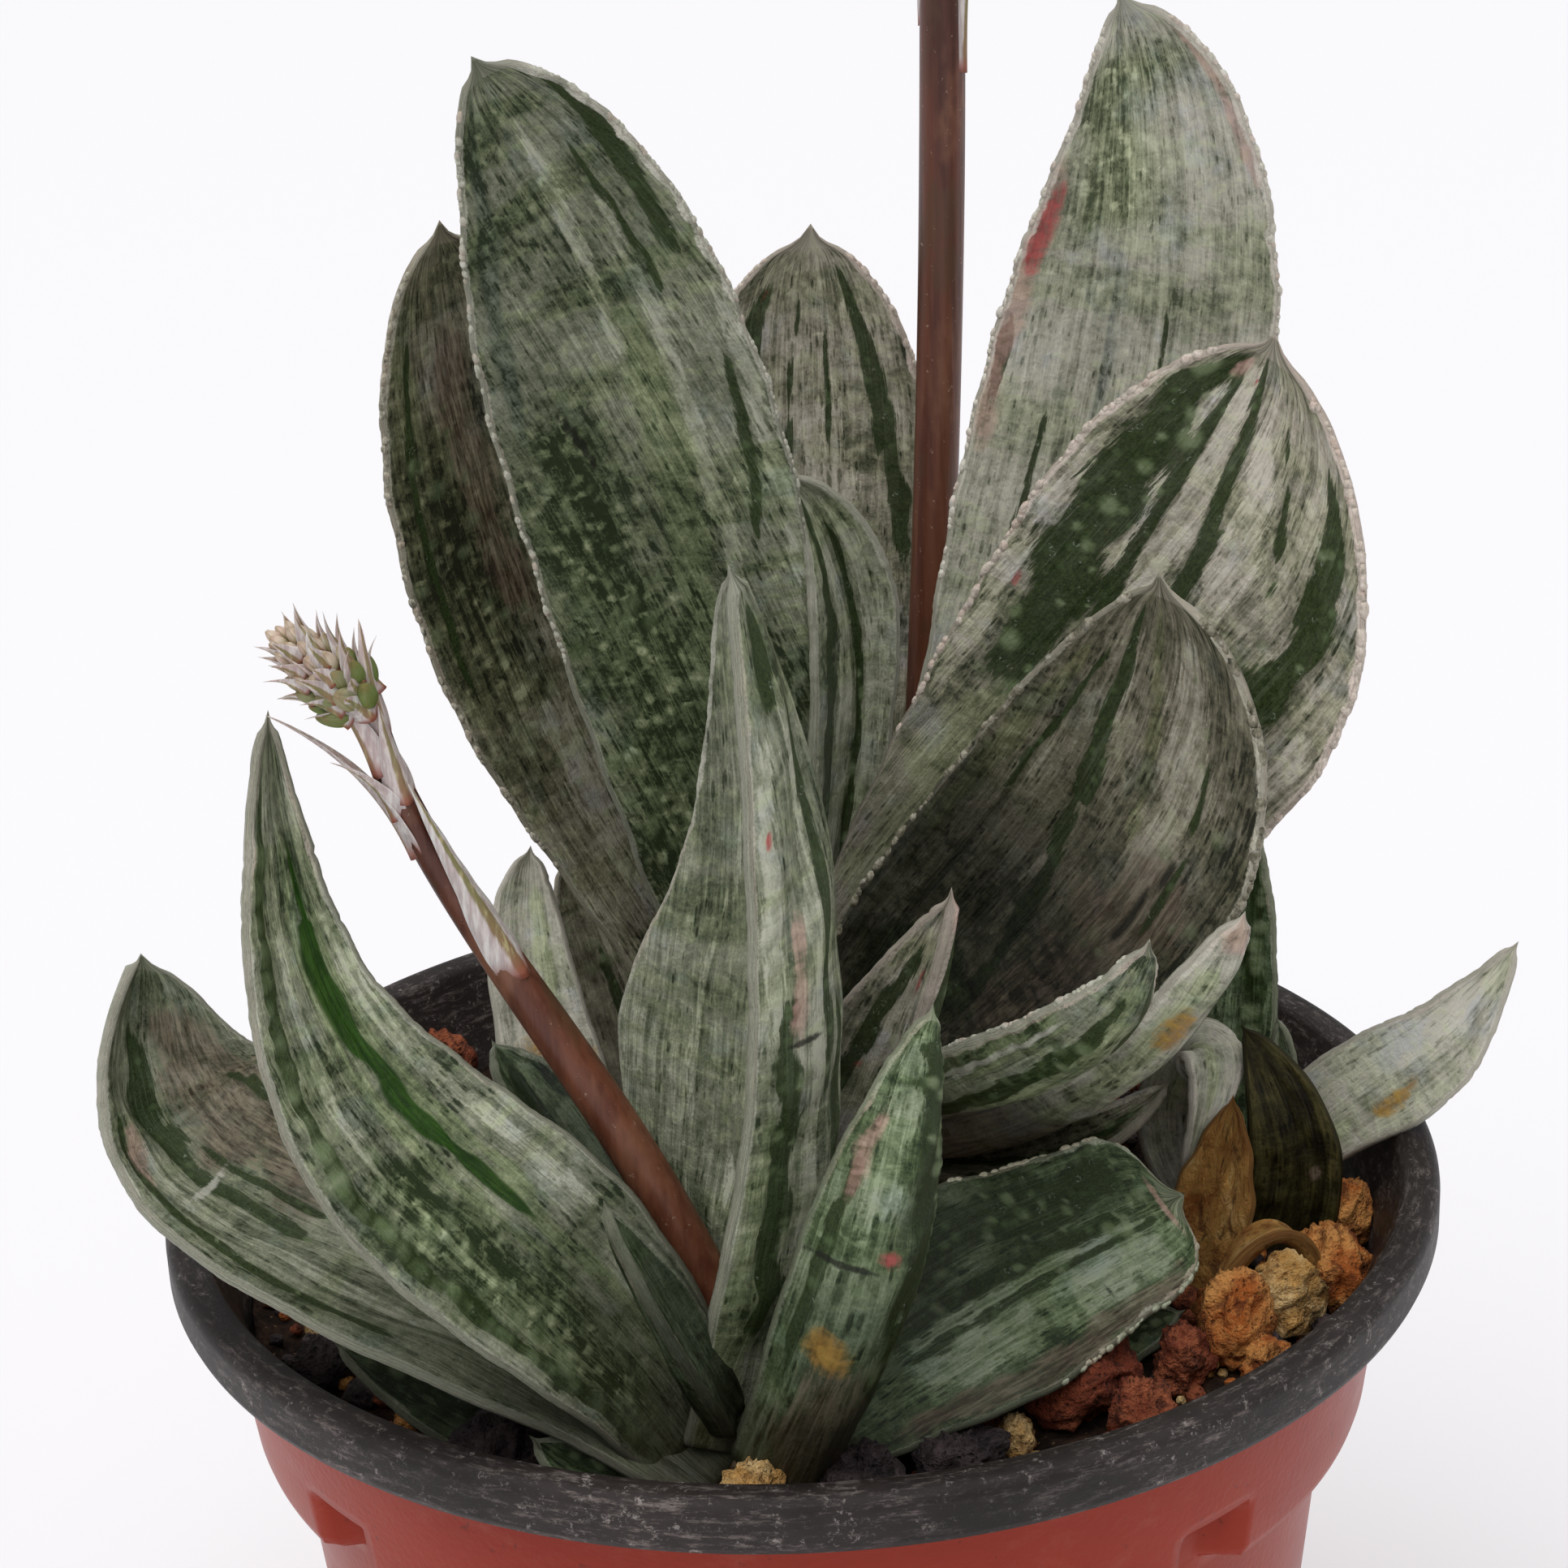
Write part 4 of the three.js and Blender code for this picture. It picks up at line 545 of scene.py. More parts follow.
def on_path(points, s):
    """Points and directions on the smooth curve through evenly spaced points."""
    points = np.array(points, float)
    count = len(points)
    powers = np.vander(np.linspace(0, 1, count), count)
    factors = np.linalg.solve(powers, points)
    at = np.vander(s, count) @ factors
    slope = factors[:-1] * np.arange(count - 1, 0, -1)[:, None]
    way = np.vander(s, count - 1) @ slope
    return at + [0, 0, SOIL_Z], unit(way)


def along(values, s):
    """Smooth run through evenly spaced values."""
    v = np.array(values, float)
    n = len(v) - 1
    x = np.clip(s, 0, 1) * n
    i = np.minimum(np.floor(x).astype(int), n - 1)
    f = x - i
    v = np.concatenate([[2 * v[0] - v[1]], v, [2 * v[-1] - v[-2]]])
    a, b, c, d = v[i], v[i + 1], v[i + 2], v[i + 3]
    cubic = f * (3 * (b - c) + d - a)
    return b + 0.5 * f * (c - a + f * (2 * a - 5 * b + 4 * c - d + cubic))


def one_along(values, place):
    return along(values, np.array([place]))[0]


def smooth(x):
    x = np.clip(x, 0, 1)
    return x * x * (3 - 2 * x)


def ripple(x, seed, count=5):
    """A smooth uneven run of about -1 to 1, with waves about 1 to 5 units long."""
    draw = np.random.default_rng(seed)
    total = 0
    for _ in range(count):
        pace = draw.uniform(1.2, 5.5)
        total = total + np.sin(x * pace + draw.uniform(0, 6.28)) / math.sqrt(count)
    return total


def full_turn(count):
    return np.linspace(0, 2 * math.pi, count, endpoint=False)


def level_ring(radius, z, turn, x=0, y=0):
    """A level ring of points; radius and z may change round it."""
    return np.stack([x + radius * np.cos(turn), y + radius * np.sin(turn), turn * 0 + z], -1)


def ball(rows, sides):
    """Rings of a ball of radius 1, without its poles."""
    tilt = np.linspace(0, math.pi, rows + 2)[1:-1, None, None]
    return level_ring(1, 0, full_turn(sides)) * np.sin(tilt) + np.array([0, 0, 1]) * np.cos(tilt)


def across_from(way):
    """Two directions square to a way and to each other."""
    a = unit(np.cross(way, [0, 1, 0.2]))
    return a, np.cross(way, a)


# ---- meshes ----
def link(node, points, faces, materials, kinds=None):
    """A smooth piece from points in mm, in place of a CAD node; faces is a list of arrays."""
    name = node + "_looks"
    mesh = bpy.data.meshes.new(name)
    loops = np.concatenate([group.ravel() for group in faces])
    sizes = np.concatenate([np.full(len(group), group.shape[1]) for group in faces])
    starts = np.concatenate([[0], np.cumsum(sizes)[:-1]])
    mesh.vertices.add(len(points))
    mesh.vertices.foreach_set("co", (np.asarray(points, float) * MM).ravel())
    mesh.loops.add(len(loops))
    mesh.loops.foreach_set("vertex_index", loops.astype(np.int32))
    mesh.polygons.add(len(sizes))
    mesh.polygons.foreach_set("loop_start", starts.astype(np.int32))
    for material in materials:
        mesh.materials.append(material)
    if kinds is not None:
        mesh.polygons.foreach_set("material_index", kinds.astype(np.int32))
    mesh.update(calc_edges=True)
    mesh.validate()
    mesh.shade_smooth()
    piece = bpy.data.objects.new(name, mesh)
    bpy.context.collection.objects.link(piece)
    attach(piece, "root")
    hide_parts(node)
    return piece


def tube_faces(rows, count):
    """Quads between rings of equal length."""
    r, i = np.meshgrid(np.arange(rows - 1), np.arange(count), indexing="ij")
    a = r * count + i
    b = r * count + (i + 1) % count
    return np.stack([a, b, b + count, a + count], -1).reshape(-1, 4)


def cap_faces(ring_start, count, point, flip=False):
    i = np.arange(count)
    a, b = ring_start + i, ring_start + (i + 1) % count
    if flip:
        a, b = b, a
    return np.stack([b, a, np.full(count, point)], -1)


def closed_tube(rings, start, end):
    """Points and faces of a closed tube; rings is rows by count by 3."""
    rows, count = rings.shape[:2]
    points = np.concatenate([rings.reshape(-1, 3), [start, end]])
    ends = [cap_faces(0, count, rows * count),
            cap_faces((rows - 1) * count, count, rows * count + 1, True)]
    return points, [tube_faces(rows, count), np.concatenate(ends)]


def turned_out(points, faces):
    return points, [group[:, ::-1] for group in faces]


def add_vectors(mesh, name, values):
    mesh.attributes.new(name, "FLOAT_VECTOR", "POINT").data.foreach_set(
        "vector", np.asarray(values, np.float32).ravel())


def add_colours(mesh, name, values):
    mesh.attributes.new(name, "FLOAT_COLOR", "POINT").data.foreach_set(
        "color", np.clip(values, 0, 1).astype(np.float32).ravel())


# ---- leaves ----
STEP_ALONG = 0.5
STEP_ACROSS = 0.75
BARE_SKINS = ("dry", "olive")
BIG_LEAF = 12
# Lone tubercles and rows of them: height as a share of their size, and how pale they are.
SPOT_LIFT, SPOT_PALE = 0.06, 1.0
BEAD_LIFT, BEAD_PALE = 0.34, 0.5
MARGIN_PITCH, MARGIN_HEIGHT = 1.3, 0.2
HORN_ROWS, HORN_SIDES = 4, 8
TIP_RINGS = ((0.2, 0.62), (0.45, 0.32), (0.75, 0.14))


def on_side(side, face):
    return face > 0 if side == "i" else face < 0


def scatter(draw, count, low, high, left, right, apart):
    """Seeded places on a leaf that keep a distance from each other."""
    kept = []
    for _ in range(count * 6):
        place = (draw.uniform(low, high), draw.uniform(left, right))
        if all(abs(place[0] - s) * 6 + abs(place[1] - a) > apart for s, a in kept):
            kept.append(place)
        if len(kept) == count:
            break
    return kept


def bead_field(leaf, seed, along_mm, across_mm, s, face):
    """Raised tubercles on the faces: height in mm, and how pale each point is made."""
    draw = np.random.default_rng(seed)
    height = np.zeros(np.broadcast(along_mm, across_mm).shape)
    pale = np.zeros_like(height)
    length = along_mm.max()
    bumps = []
    for side, count, size, *where in leaf["spots"]:
        for place, sideways in scatter(draw, count, *where, 0.16 * size):
            bumps.append([side, place, sideways, size * draw.uniform(0.45, 1.2),
                          SPOT_LIFT, SPOT_PALE])
    for side, sideways, place, high, size in leaf["beads"]:
        while place < high:
            at = sideways + draw.normal(0, 0.015)
            bumps.append([side, place, at, size * draw.uniform(0.6, 1.15), BEAD_LIFT, BEAD_PALE])
            place += size * draw.uniform(1.5, 2.6) / length
    for side, place, sideways, size, tall, share in bumps:
        at = np.searchsorted(s[:, 0], place)
        near = slice(max(0, at - 8), at + 9)
        offset = one_along(leaf["right"] if sideways > 0 else leaf["left"], place) * sideways
        dy = along_mm[near] - place * length
        dx = across_mm[near] - offset
        fall = np.exp(-((dx * dx + dy * dy) / (size * size)) ** 1.4) * on_side(side, face)
        height[near] = np.maximum(height[near], tall * size * fall)
        pale[near] = np.maximum(pale[near], share * fall)
    return height, pale


def stripe_fields(leaf, seed, s, across, face, length):
    """Painted stripes: each is 1 along its middle, 0.5 at its edge and 0 well outside."""
    fields = {}
    for k, (side, colour, foot, top, half, low, high) in enumerate(leaf["stripes"]):
        part = np.clip((s - low) / max(high - low, 1e-3), 0, 1)
        centre = foot + (top - foot) * part
        reach = np.where(centre > 0, along(leaf["right"], s), along(leaf["left"], s))
        swell = 0.72 + 0.28 * np.sin(math.pi * part) + 0.16 * ripple(s * 16, seed + 9 * k)
        wander = 0.2 * half * ripple(s * 12, seed + 7 * k)
        away = np.abs((across - centre) * reach + wander) / (half * swell)
        fade = min(3.5 / length, 0.3 * (high - low))
        ends = np.clip((s - low) / fade + 0.5, 0, 1) * np.clip((high - s) / fade + 0.5, 0, 1)
        value = np.clip(1.5 - away, 0, 1) * ends * on_side(side, face)
        key = STRIPE_CHANNEL[colour]
        fields[key] = np.maximum(fields.get(key, 0), value)
    return fields


def wild_markings(leaf, seed, widest):
    """Dark spotted streaks and pale lines for a face that has no markings of its own."""
    draw = np.random.default_rng(seed)
    marked = {mark[0] for mark in leaf["stripes"]}
    stripes, spots = [], []
    for side in () if leaf["skin"] in BARE_SKINS else ("i", "o"):
        if side in marked:
            continue
        for _ in range(3 if widest > 14 else 1):
            middle = draw.uniform(-0.8, 0.8)
            low = draw.uniform(0.05, 0.5)
            high = low + draw.uniform(0.2, 0.45)
            half = draw.uniform(0.05, 0.11) * widest
            stripes.append((side, "dark", middle, middle * 0.7, half, low, high))
            stripes.append((side, "pale", middle + 0.35, middle * 0.6 + 0.2, 0.45 * half, 0.2, 0.9))
        spots.append((side, int(widest * 1.2), min(1.0, 0.05 * widest), 0.08, 0.93, -0.85, 0.85))
    return stripes, spots


def margin_beads(along_mm, seed):
    """Outline of rounded, uneven beads along a margin, in mm out from it."""
    draw = np.random.default_rng(seed)
    line = along_mm[:, 0]
    count = int(line[-1] / MARGIN_PITCH / 0.65) + 4
    centres = np.cumsum(draw.uniform(0.65, 1.4, count) * MARGIN_PITCH)
    tall = draw.uniform(0.35, 1.1, count) * MARGIN_HEIGHT
    wide = np.diff(centres, append=centres[-1] + MARGIN_PITCH) * 0.62
    nearest = np.abs(line[:, None] - centres[None]).argmin(1)
    away = np.clip(np.abs(line - centres[nearest]) / wide[nearest], 0, 1)
    return (tall[nearest] * np.sqrt(1 - away ** 2))[:, None]


def horny_beads(margin, inward, leaf, seed):
    """Low rounded beads of horn that run into each other along one margin."""
    draw = np.random.default_rng(seed)
    run = np.concatenate([[0], np.cumsum(np.linalg.norm(np.diff(margin, axis=0), axis=1))])
    shape = ball(HORN_ROWS, HORN_SIDES)

    def point_on(line, place):
        return np.array([np.interp(place, run, line[:, k]) for k in range(3)])

    place = leaf["bead_from"] * run[-1]
    while place < run[-1] - 1.2:
        here = point_on(margin, place)
        way = unit(point_on(margin, place + 0.5) - here)
        into = unit(point_on(inward, place) - here)
        radius = leaf["teeth"] * draw.uniform(0.5, 1.0)
        stretch = draw.uniform(1.1, 2.3)
        body = shape * radius
        body = body + (body @ way)[..., None] * way * (stretch - 1)
        body = body + here + into * radius * draw.uniform(0.5, 1.0)
        yield turned_out(*closed_tube(body, body[0].mean(0), body[-1].mean(0)))
        place += radius * stretch * draw.choice([1.2, 1.6, 2.2, 4.5], p=[0.35, 0.3, 0.2, 0.15])


def leaf_piece(name, leaf, seed):
    leaf = LEAF_DEFAULTS | leaf
    leaf.setdefault("right", leaf["left"])
    for key in ("stripes", "spots", "beads"):
        leaf[key] = [mark if mark[0] in ("i", "o") else (leaf["seen"], *mark) for mark in leaf[key]]
    at, _ = on_path(leaf["path"], np.linspace(0, 1, 40))
    length = np.linalg.norm(np.diff(at, axis=0), axis=1).sum()
    widest = max(leaf["left"]) + max(leaf["right"])
    rows = max(24, int(length / STEP_ALONG))
    columns = max(13, 2 * int(widest / STEP_ACROSS / 2) + 7)
    more_stripes, more_spots = wild_markings(leaf, seed + 3, widest)
    leaf["stripes"] += more_stripes
    leaf["spots"] += more_spots
    horny = leaf["skin"] not in BARE_SKINS

    # The grid: s runs along, across runs over the inner face and back over the outer one.
    s = (0.992 * np.linspace(0, 1, rows) ** 0.9)[:, None]
    t = np.linspace(-1, 1, columns)
    u = np.sin(t * math.pi / 2) * 0.35 + t * 0.65
    across = np.concatenate([u, [1.0], u[::-1], [-1.0]])[None, :]
    face = np.concatenate([np.ones(columns), [0], -np.ones(columns), [0]])[None, :]
    a = np.abs(across)
    right = across >= 0

    def by_side(left_value, right_value):
        return np.where(right, right_value, left_value)

    close_from, close_power, close_blunt = leaf["round"]
    closing = np.maximum(0, (s - close_from) / (1 - close_from))
    taper = np.maximum(0, 1 - closing ** close_power) ** close_blunt
    size, count = leaf["wave"]
    along_mm = s * length
    wavy = 0.3 * size * a * np.sin(2 * math.pi * count * s + np.sign(across))
    flat_half = by_side(along(leaf["left"], s), along(leaf["right"], s))
    half = flat_half * taper + wavy * taper
    across_mm = flat_half * across

    # Horny margin: a hair line low down, broader and beaded towards the tip.
    upper = smooth((s - 0.45) / 0.35)
    crust = by_side(*leaf["crust"]) * upper * (0.85 + 0.3 * ripple(along_mm / 2.5, seed + 8))
    band_width = 0.14 + 0.42 * np.clip(crust, 0, 1.2)
    band = smooth(1.5 - half * (1 - a) / band_width) * horny
    beads = by_side(margin_beads(along_mm, seed + 1), margin_beads(along_mm, seed + 2))
    beads = beads * (0.45 + 0.55 * upper) * horny
    reach = half + np.where(face == 0, 0.3, 0)
    reach = reach + beads * smooth((a - 0.82) / 0.18) * np.minimum(1, taper * 3)

    lift_bumps, spot = bead_field(leaf, seed, along_mm, across_mm, s, face)
    uneven = (0.2 * ripple(across * 2.2 + s * 6, seed + 31)
              + 0.13 * ripple(s * 9 + across, seed + 32))
    uneven = uneven * (1 - a ** 4) * smooth((1 - s) / 0.15) * min(1, widest / 16)

    # The folded section, set square to the path.
    at, way = on_path(leaf["path"], s[:, 0])
    from_face, to_face = (unit(np.array(leaf["face"][k], float)) for k in (0, -1))
    look = from_face * (1 - s) + to_face * s
    up = unit(look - (look * way).sum(1, keepdims=True) * way)
    side = np.cross(way, up)
    fold = np.radians(by_side(*leaf["fold"]))
    sideways = reach * across * np.cos(fold)
    rise = reach * a ** FOLD_CURVE * np.sin(fold)
    tilt = np.minimum(1, 2 * a) * fold * np.sign(across)
    middle = LEAF_EDGE + (along(leaf["thick"], s) - LEAF_EDGE) * np.minimum(1, (1 - s) / 0.1)
    depth = LEAF_EDGE + np.maximum(0, middle - LEAF_EDGE) * (1 - a * a)
    share = np.where(face > 0, 0.3 + 0.2 * a ** 6, -(0.7 - 0.2 * a ** 6)) * np.abs(face)
    lift = share * depth * (1 + 0.5 * band * beads) + face * lift_bumps + uneven
    points = at[:, None] + side[:, None] * (sideways - lift * np.sin(tilt))[..., None]
    points = points + up[:, None] * (rise + lift * np.cos(tilt))[..., None]

    # The tip draws out into a small sharp point.
    foot_at, foot_way = on_path(leaf["path"], np.array([0.0]))
    tip_at, tip_way = on_path(leaf["path"], np.array([1.0]))
    end_ring = points[-1]
    centre = end_ring.mean(0)
    point = leaf.get("point", 1.9 if widest > BIG_LEAF else 1.0)
    spine = tip_at[0] + unit(tip_way[0] + 0.25 * up[-1]) * point
    tip = [centre + (spine - centre) * part + (end_ring - centre) * wide
           for part, wide in TIP_RINGS]
    verts, faces = closed_tube(np.concatenate([points, tip]), foot_at[0] - foot_way[0] * 0.5, spine)
    body_count = len(verts)
    margins = ((columns, columns - 3, 51), (2 * columns + 1, 2, 52)) if leaf["teeth"] else ()
    for column, inner, bead_seed in margins:
        row = horny_beads(points[:, column], points[:, inner], leaf, seed + bead_seed)
        for made, groups in row:
            faces = faces + [group + len(verts) for group in groups]
            verts = np.concatenate([verts, made])
    piece = link(name, verts, faces, [SKIN_MATERIALS[leaf["skin"]]])

    def spread(values, on_beads=0.0):
        """Values of the grid, carried on to the tip's rings, the two end points and the beads."""
        grid = np.broadcast_to(values, (rows, across.shape[1]))
        tail = [grid[-1]] * len(TIP_RINGS)
        return np.concatenate([grid.ravel(), *tail, [grid[0, 0], grid[-1, 0]],
                               np.full(len(verts) - body_count, on_beads)])

    # Streaks run along this flow: across in mm, along in mm, and a place of the leaf's own.
    offset = np.random.default_rng(seed).uniform(0, 400)
    nominal = by_side(max(leaf["left"]), max(leaf["right"])) * across
    veins = 0.5 * nominal + 0.5 * half * across + leaf["shear"] * along_mm
    flow = np.stack([spread(veins), spread(along_mm), spread(offset + 13 * face)], -1)
    flow[body_count:] = verts[body_count:]
    add_vectors(piece.data, "flow", flow)

    fields = stripe_fields(leaf, seed, s, across, face, length)
    fields[SPOT] = spot
    fields[MARGIN] = np.maximum(band, 0.5 * smooth((s - 0.986) / 0.006) * horny)
    fields[CRUST] = np.clip(crust, 0, 1)
    # The foot's earthy colour over its first 7 mm, and painted shade over the lowest 30% of the
    # leaf.
    fields[FOOT] = smooth(1 - along_mm / 7) + 0.4 * smooth(1 - s / 0.3)
    # Painted shade from the foot up, fading out between the two places given; deep is its depth
    # from the left margin to the right one.
    shade_from, shade_to, shade_share = leaf["shade"]
    left_shade, right_shade = np.broadcast_to(shade_share, 2)
    deep = left_shade + (right_shade - left_shade) * smooth(0.5 + across)
    fields[SHADE] = deep * smooth((shade_to - s) / (shade_to - shade_from))
    fields[PALE_SHARE] = leaf["pale"]
    fields[GREEN_SHARE] = leaf["green"]
    on_beads = {MARGIN: leaf["bead_pale"], CRUST: 0.45, PALE_SHARE: 0.7}
    zones = {key: np.zeros((len(verts), 4)) for key in ZONES}
    for key, values in fields.items():
        zone, channel = key
        zones[zone][:, channel] = spread(values, on_beads.get(key, 0.0))
    for key, values in zones.items():
        add_colours(piece.data, key, values)


# ---- leaf skins: tints of four numbers are factors, all other colours are as on a screen ----
TINT_GREEN = (0.90, 1.0, 0.77, 1)
TINT_SLATE = (0.92, 0.97, 1.10, 1)
# The colour of the painted shade, multiplied in.
SHADE_TINT = (0.045, 0.05, 0.034, 1)


def skin_material(name, dark, low, middle, pale, margin):
    t = Tree("leaf_skin_" + name)
    times, total, about, step = t.times, t.total, t.about, t.step
    flow = t.vector("flow")
    split = {}
    for key in ZONES:
        node = t.node("ShaderNodeAttribute", attribute_name=key)
        parts = t.node("ShaderNodeSeparateColor", {0: node.outputs["Color"]})
        split[key] = [*parts.outputs, node.outputs["Alpha"]]

    def pick(channel):
        return split[channel[0]][channel[1]]

    def field(across, along_it, detail, rough, warp=0.0):
        return t.noise(flow, (across, along_it, 1), detail, rough, warp)

    veins = field(1.15, 0.022, 3, 0.6)
    lines = field(2.2, 0.24, 3, 0.65, 0.5)
    mottle = field(0.62, 0.72, 3, 0.6, 0.4)
    patch = field(0.13, 0.07, 3, 0.55)
    cross = field(0.045, 0.2, 3, 0.55, 0.3)
    grain = field(4.2, 3.2, 4, 0.75)

    # Cross rows of dark ground with pale blotches, where the leaf is a spotted one.
    green = pick(GREEN_SHARE)
    rows_of = times(step(cross, 0.47, 0.62), green)
    rows_of = t.math("MAXIMUM", rows_of, pick(STRIPE_CHANNEL["band"]))
    blobs = times(step(t.cells(flow, (0.55, 0.62, 1)), 0.5, 0.14), step(mottle, 0.38, 0.56))

    # Short dark dashes, crowded in some places and rare in others, and pale vein lines.
    crowd = total(0.16, about(field(0.16, 0.1, 2, 0.5), 1.1))
    dash = step(t.math("SUBTRACT", t.cells(flow, (1.7, 0.42, 1)), crowd), 0.1, -0.03)
    vein_line = step(t.math("ABSOLUTE", about(veins, 1.0)), 0.045, 0.0)
    vein_line = times(vein_line, step(patch, 0.4, 0.6))

    tone = total(about(lines, 0.65), about(veins, 0.65), about(mottle, 0.75), about(patch, 0.6),
                 about(grain, 0.6), about(pick(PALE_SHARE), 0.45), 0.5)
    tone = total(tone, times(vein_line, 0.15), times(dash, -0.22))
    tone = total(tone, times(rows_of, -0.26), times(times(rows_of, blobs), 0.36))
    ragged_by = total(about(lines, 1.5), about(grain, 0.5))

    def zone(key, sharp=0.12, ragged=1.0):
        """A painted zone whose edge follows the streaks."""
        value = pick(STRIPE_CHANNEL[key])
        inside = step(total(value, times(ragged_by, ragged)), 0.5 - sharp, 0.5 + sharp)
        return times(inside, step(value, 0.0, 0.25))

    def flush(base, key, share, deeper, paler):
        """A stain that is strongest in its middle and fades away to all sides."""
        value = total(pick(STRIPE_CHANNEL[key]), about(mottle, 1.5), about(lines, 1.0))
        inside = times(step(value, 0.25, 1.2), step(pick(STRIPE_CHANNEL[key]), 0.0, 0.6))
        return t.paint(base, inside, share, t.between(mottle, 0.3, 0.7, deeper, paler))

    tone = total(tone, times(zone("pale", 0.2), 0.22), times(zone("slate", 0.3), -0.14))
    ramp = t.node("ShaderNodeValToRGB", {0: tone})
    stops = ramp.color_ramp.elements
    stops[0].position, stops[0].color = 0.14, srgb(*dark)
    stops[1].position, stops[1].color = 0.9, srgb(*pale)
    for position, tint in ((0.4, low), (0.62, middle)):
        stops.new(position).color = srgb(*tint)
    colour = ramp.outputs[0]

    leafy = step(total(about(mottle, 0.8), about(cross, 0.7), 0.5), 0.46, 0.62)
    leafy = t.math("MAXIMUM", times(leafy, times(green, 1.3)), zone("green", 0.35))
    leafy = t.math("MINIMUM", t.math("MAXIMUM", leafy, rows_of), 1.0)
    colour = t.tinted(colour, leafy, TINT_GREEN)
    slaty = t.math("MAXIMUM", step(field(0.2, 0.16, 3, 0.6), 0.54, 0.66), zone("slate", 0.3))
    colour = t.tinted(colour, times(slaty, 0.8), TINT_SLATE)
    streaky_brown = t.between(lines, 0.4, 0.62, (74, 56, 46), (136, 118, 102))
    colour = t.paint(colour, zone("brown", 0.35), 0.6, streaky_brown)

    # Deep green zones with small dim spots and rings in them.
    deep = t.between(grain, 0.35, 0.7, (29, 43, 14), (56, 72, 32))
    dim = times(step(t.cells(flow, (0.62, 0.62, 1)), 0.42, 0.1), step(patch, 0.38, 0.6))
    deep = t.paint(deep, dim, 0.55, (96, 118, 76))
    cell = t.cells(flow, (0.5, 0.5, 3))
    ring = times(times(step(cell, 0.2, 0.16), step(cell, 0.1, 0.14)), step(grain, 0.5, 0.6))
    deep = t.paint(deep, ring, 0.7, (150, 160, 144))
    deep = t.paint(deep, vein_line, 0.25, (104, 122, 92))
    deep_zone = zone("dark", 0.1)
    colour = t.paint(colour, deep_zone, 0.93, deep)
    lush = t.between(lines, 0.35, 0.7, (20, 52, 2), (44, 82, 8))
    colour = t.paint(colour, zone("bright", 0.2, 0.25), 0.95, lush)

    # Larger pale spots with soft rims.
    spots = times(step(pick(SPOT), 0.1, 0.95), total(times(deep_zone, 0.35), 0.35))
    colour = t.mix(spots, colour, t.between(mottle, 0.3, 0.7, (112, 130, 88), (146, 160, 124)))

    # Pink and red flushes, ochre scars, cracks, and the horny margin.
    colour = flush(colour, "pink", 0.6, (176, 134, 122), (210, 172, 160))
    colour = flush(colour, "red", 1.0, (142, 34, 46), (196, 104, 98))
    colour = flush(colour, "yellow", 0.9, (150, 104, 34), (196, 156, 72))
    colour = t.paint(colour, zone("slit", 0.25, 0.8), 0.85, (28, 30, 22))
    colour = t.paint(colour, zone("white", 0.35, 1.1), 0.65, (206, 204, 192))
    rosy = step(field(0.02, 0.05, 2, 0.5), 0.5, 0.62)
    horn = t.mix(times(rosy, 0.45), margin, (220, 178, 166))
    horn = t.wash(horn, grain, 0.55, 0.35, 0.3, low)
    mask = step(total(pick(MARGIN), about(lines, 0.5), about(grain, 0.5)), 0.36, 0.72)
    worn = step(total(field(0.9, 0.9, 4, 0.7), about(grain, 0.5)), 0.34, 0.56)
    strength = times(total(0.27, times(pick(CRUST), 0.75)), total(0.55, times(worn, 0.45)))
    colour = t.mix(times(mask, strength), colour, horn)

    # Leaf feet are painted an earthy colour, partly their own and partly painted shade, then
    # painted shade darkens each leaf from its foot up; dust lies over all.
    colour = t.paint(colour, pick(FOOT), 0.55, (62, 52, 38))
    # Painted shade, deepest towards the foot and made uneven by the mottle.
    shaded = times(pick(SHADE), total(0.8, about(mottle, 1.2)))
    colour = t.tinted(colour, t.math("MINIMUM", shaded, 0.97), SHADE_TINT)
    flecks = step(field(1.5, 1.5, 7, 0.8), 0.67, 0.72)
    colour = t.paint(colour, flecks, 0.55, (204, 204, 194))

    height = total(about(veins, 0.9), about(lines, 0.35), about(mottle, 0.7), about(grain, 0.3))
    return t.finish(colour, total(times(grain, 0.25), 0.3), 0.2, (height, 0.6, 0.0005))


def dry_material():
    """Papery ochre, darker in its creases."""
    t = Tree("leaf_skin_dry")
    flow = t.vector("flow")
    creases = t.noise(flow, (0.7, 0.3, 1), 6, 0.7, 1.2)
    blotch = t.noise(flow, (0.3, 0.25, 1), 5, 0.65)
    grain = t.noise(flow, (3, 3, 1), 4, 0.7)
    colour = t.between(blotch, 0.34, 0.56, (146, 88, 32), (196, 146, 76))
    colour = t.between(blotch, 0.56, 0.7, colour, (224, 186, 122))
    colour = t.wash(colour, creases, 0.5, 0.36, 0.8, (84, 42, 12))
    colour = t.wash(colour, grain, 0.45, 0.3, 0.4, (84, 42, 12))
    height = t.total(creases, t.times(grain, 0.2))
    return t.finish(colour, 0.6, 0.35, (height, 1.0, 0.0022), (0.2, 0.001))


# ---- stalks and heads ----
def rod(path, radii, rows, sides):
    s = np.linspace(0, 1, rows)
    at, way = on_path(path, s)
    a, b = across_from(way)
    turn = full_turn(sides)[:, None]
    ring = a[:, None] * np.cos(turn) + b[:, None] * np.sin(turn)
    rings = at[:, None] + ring * along(radii, s)[:, None, None]
    return closed_tube(rings, at[0] - way[0] * 0.1, at[-1] + way[-1] * 0.1)


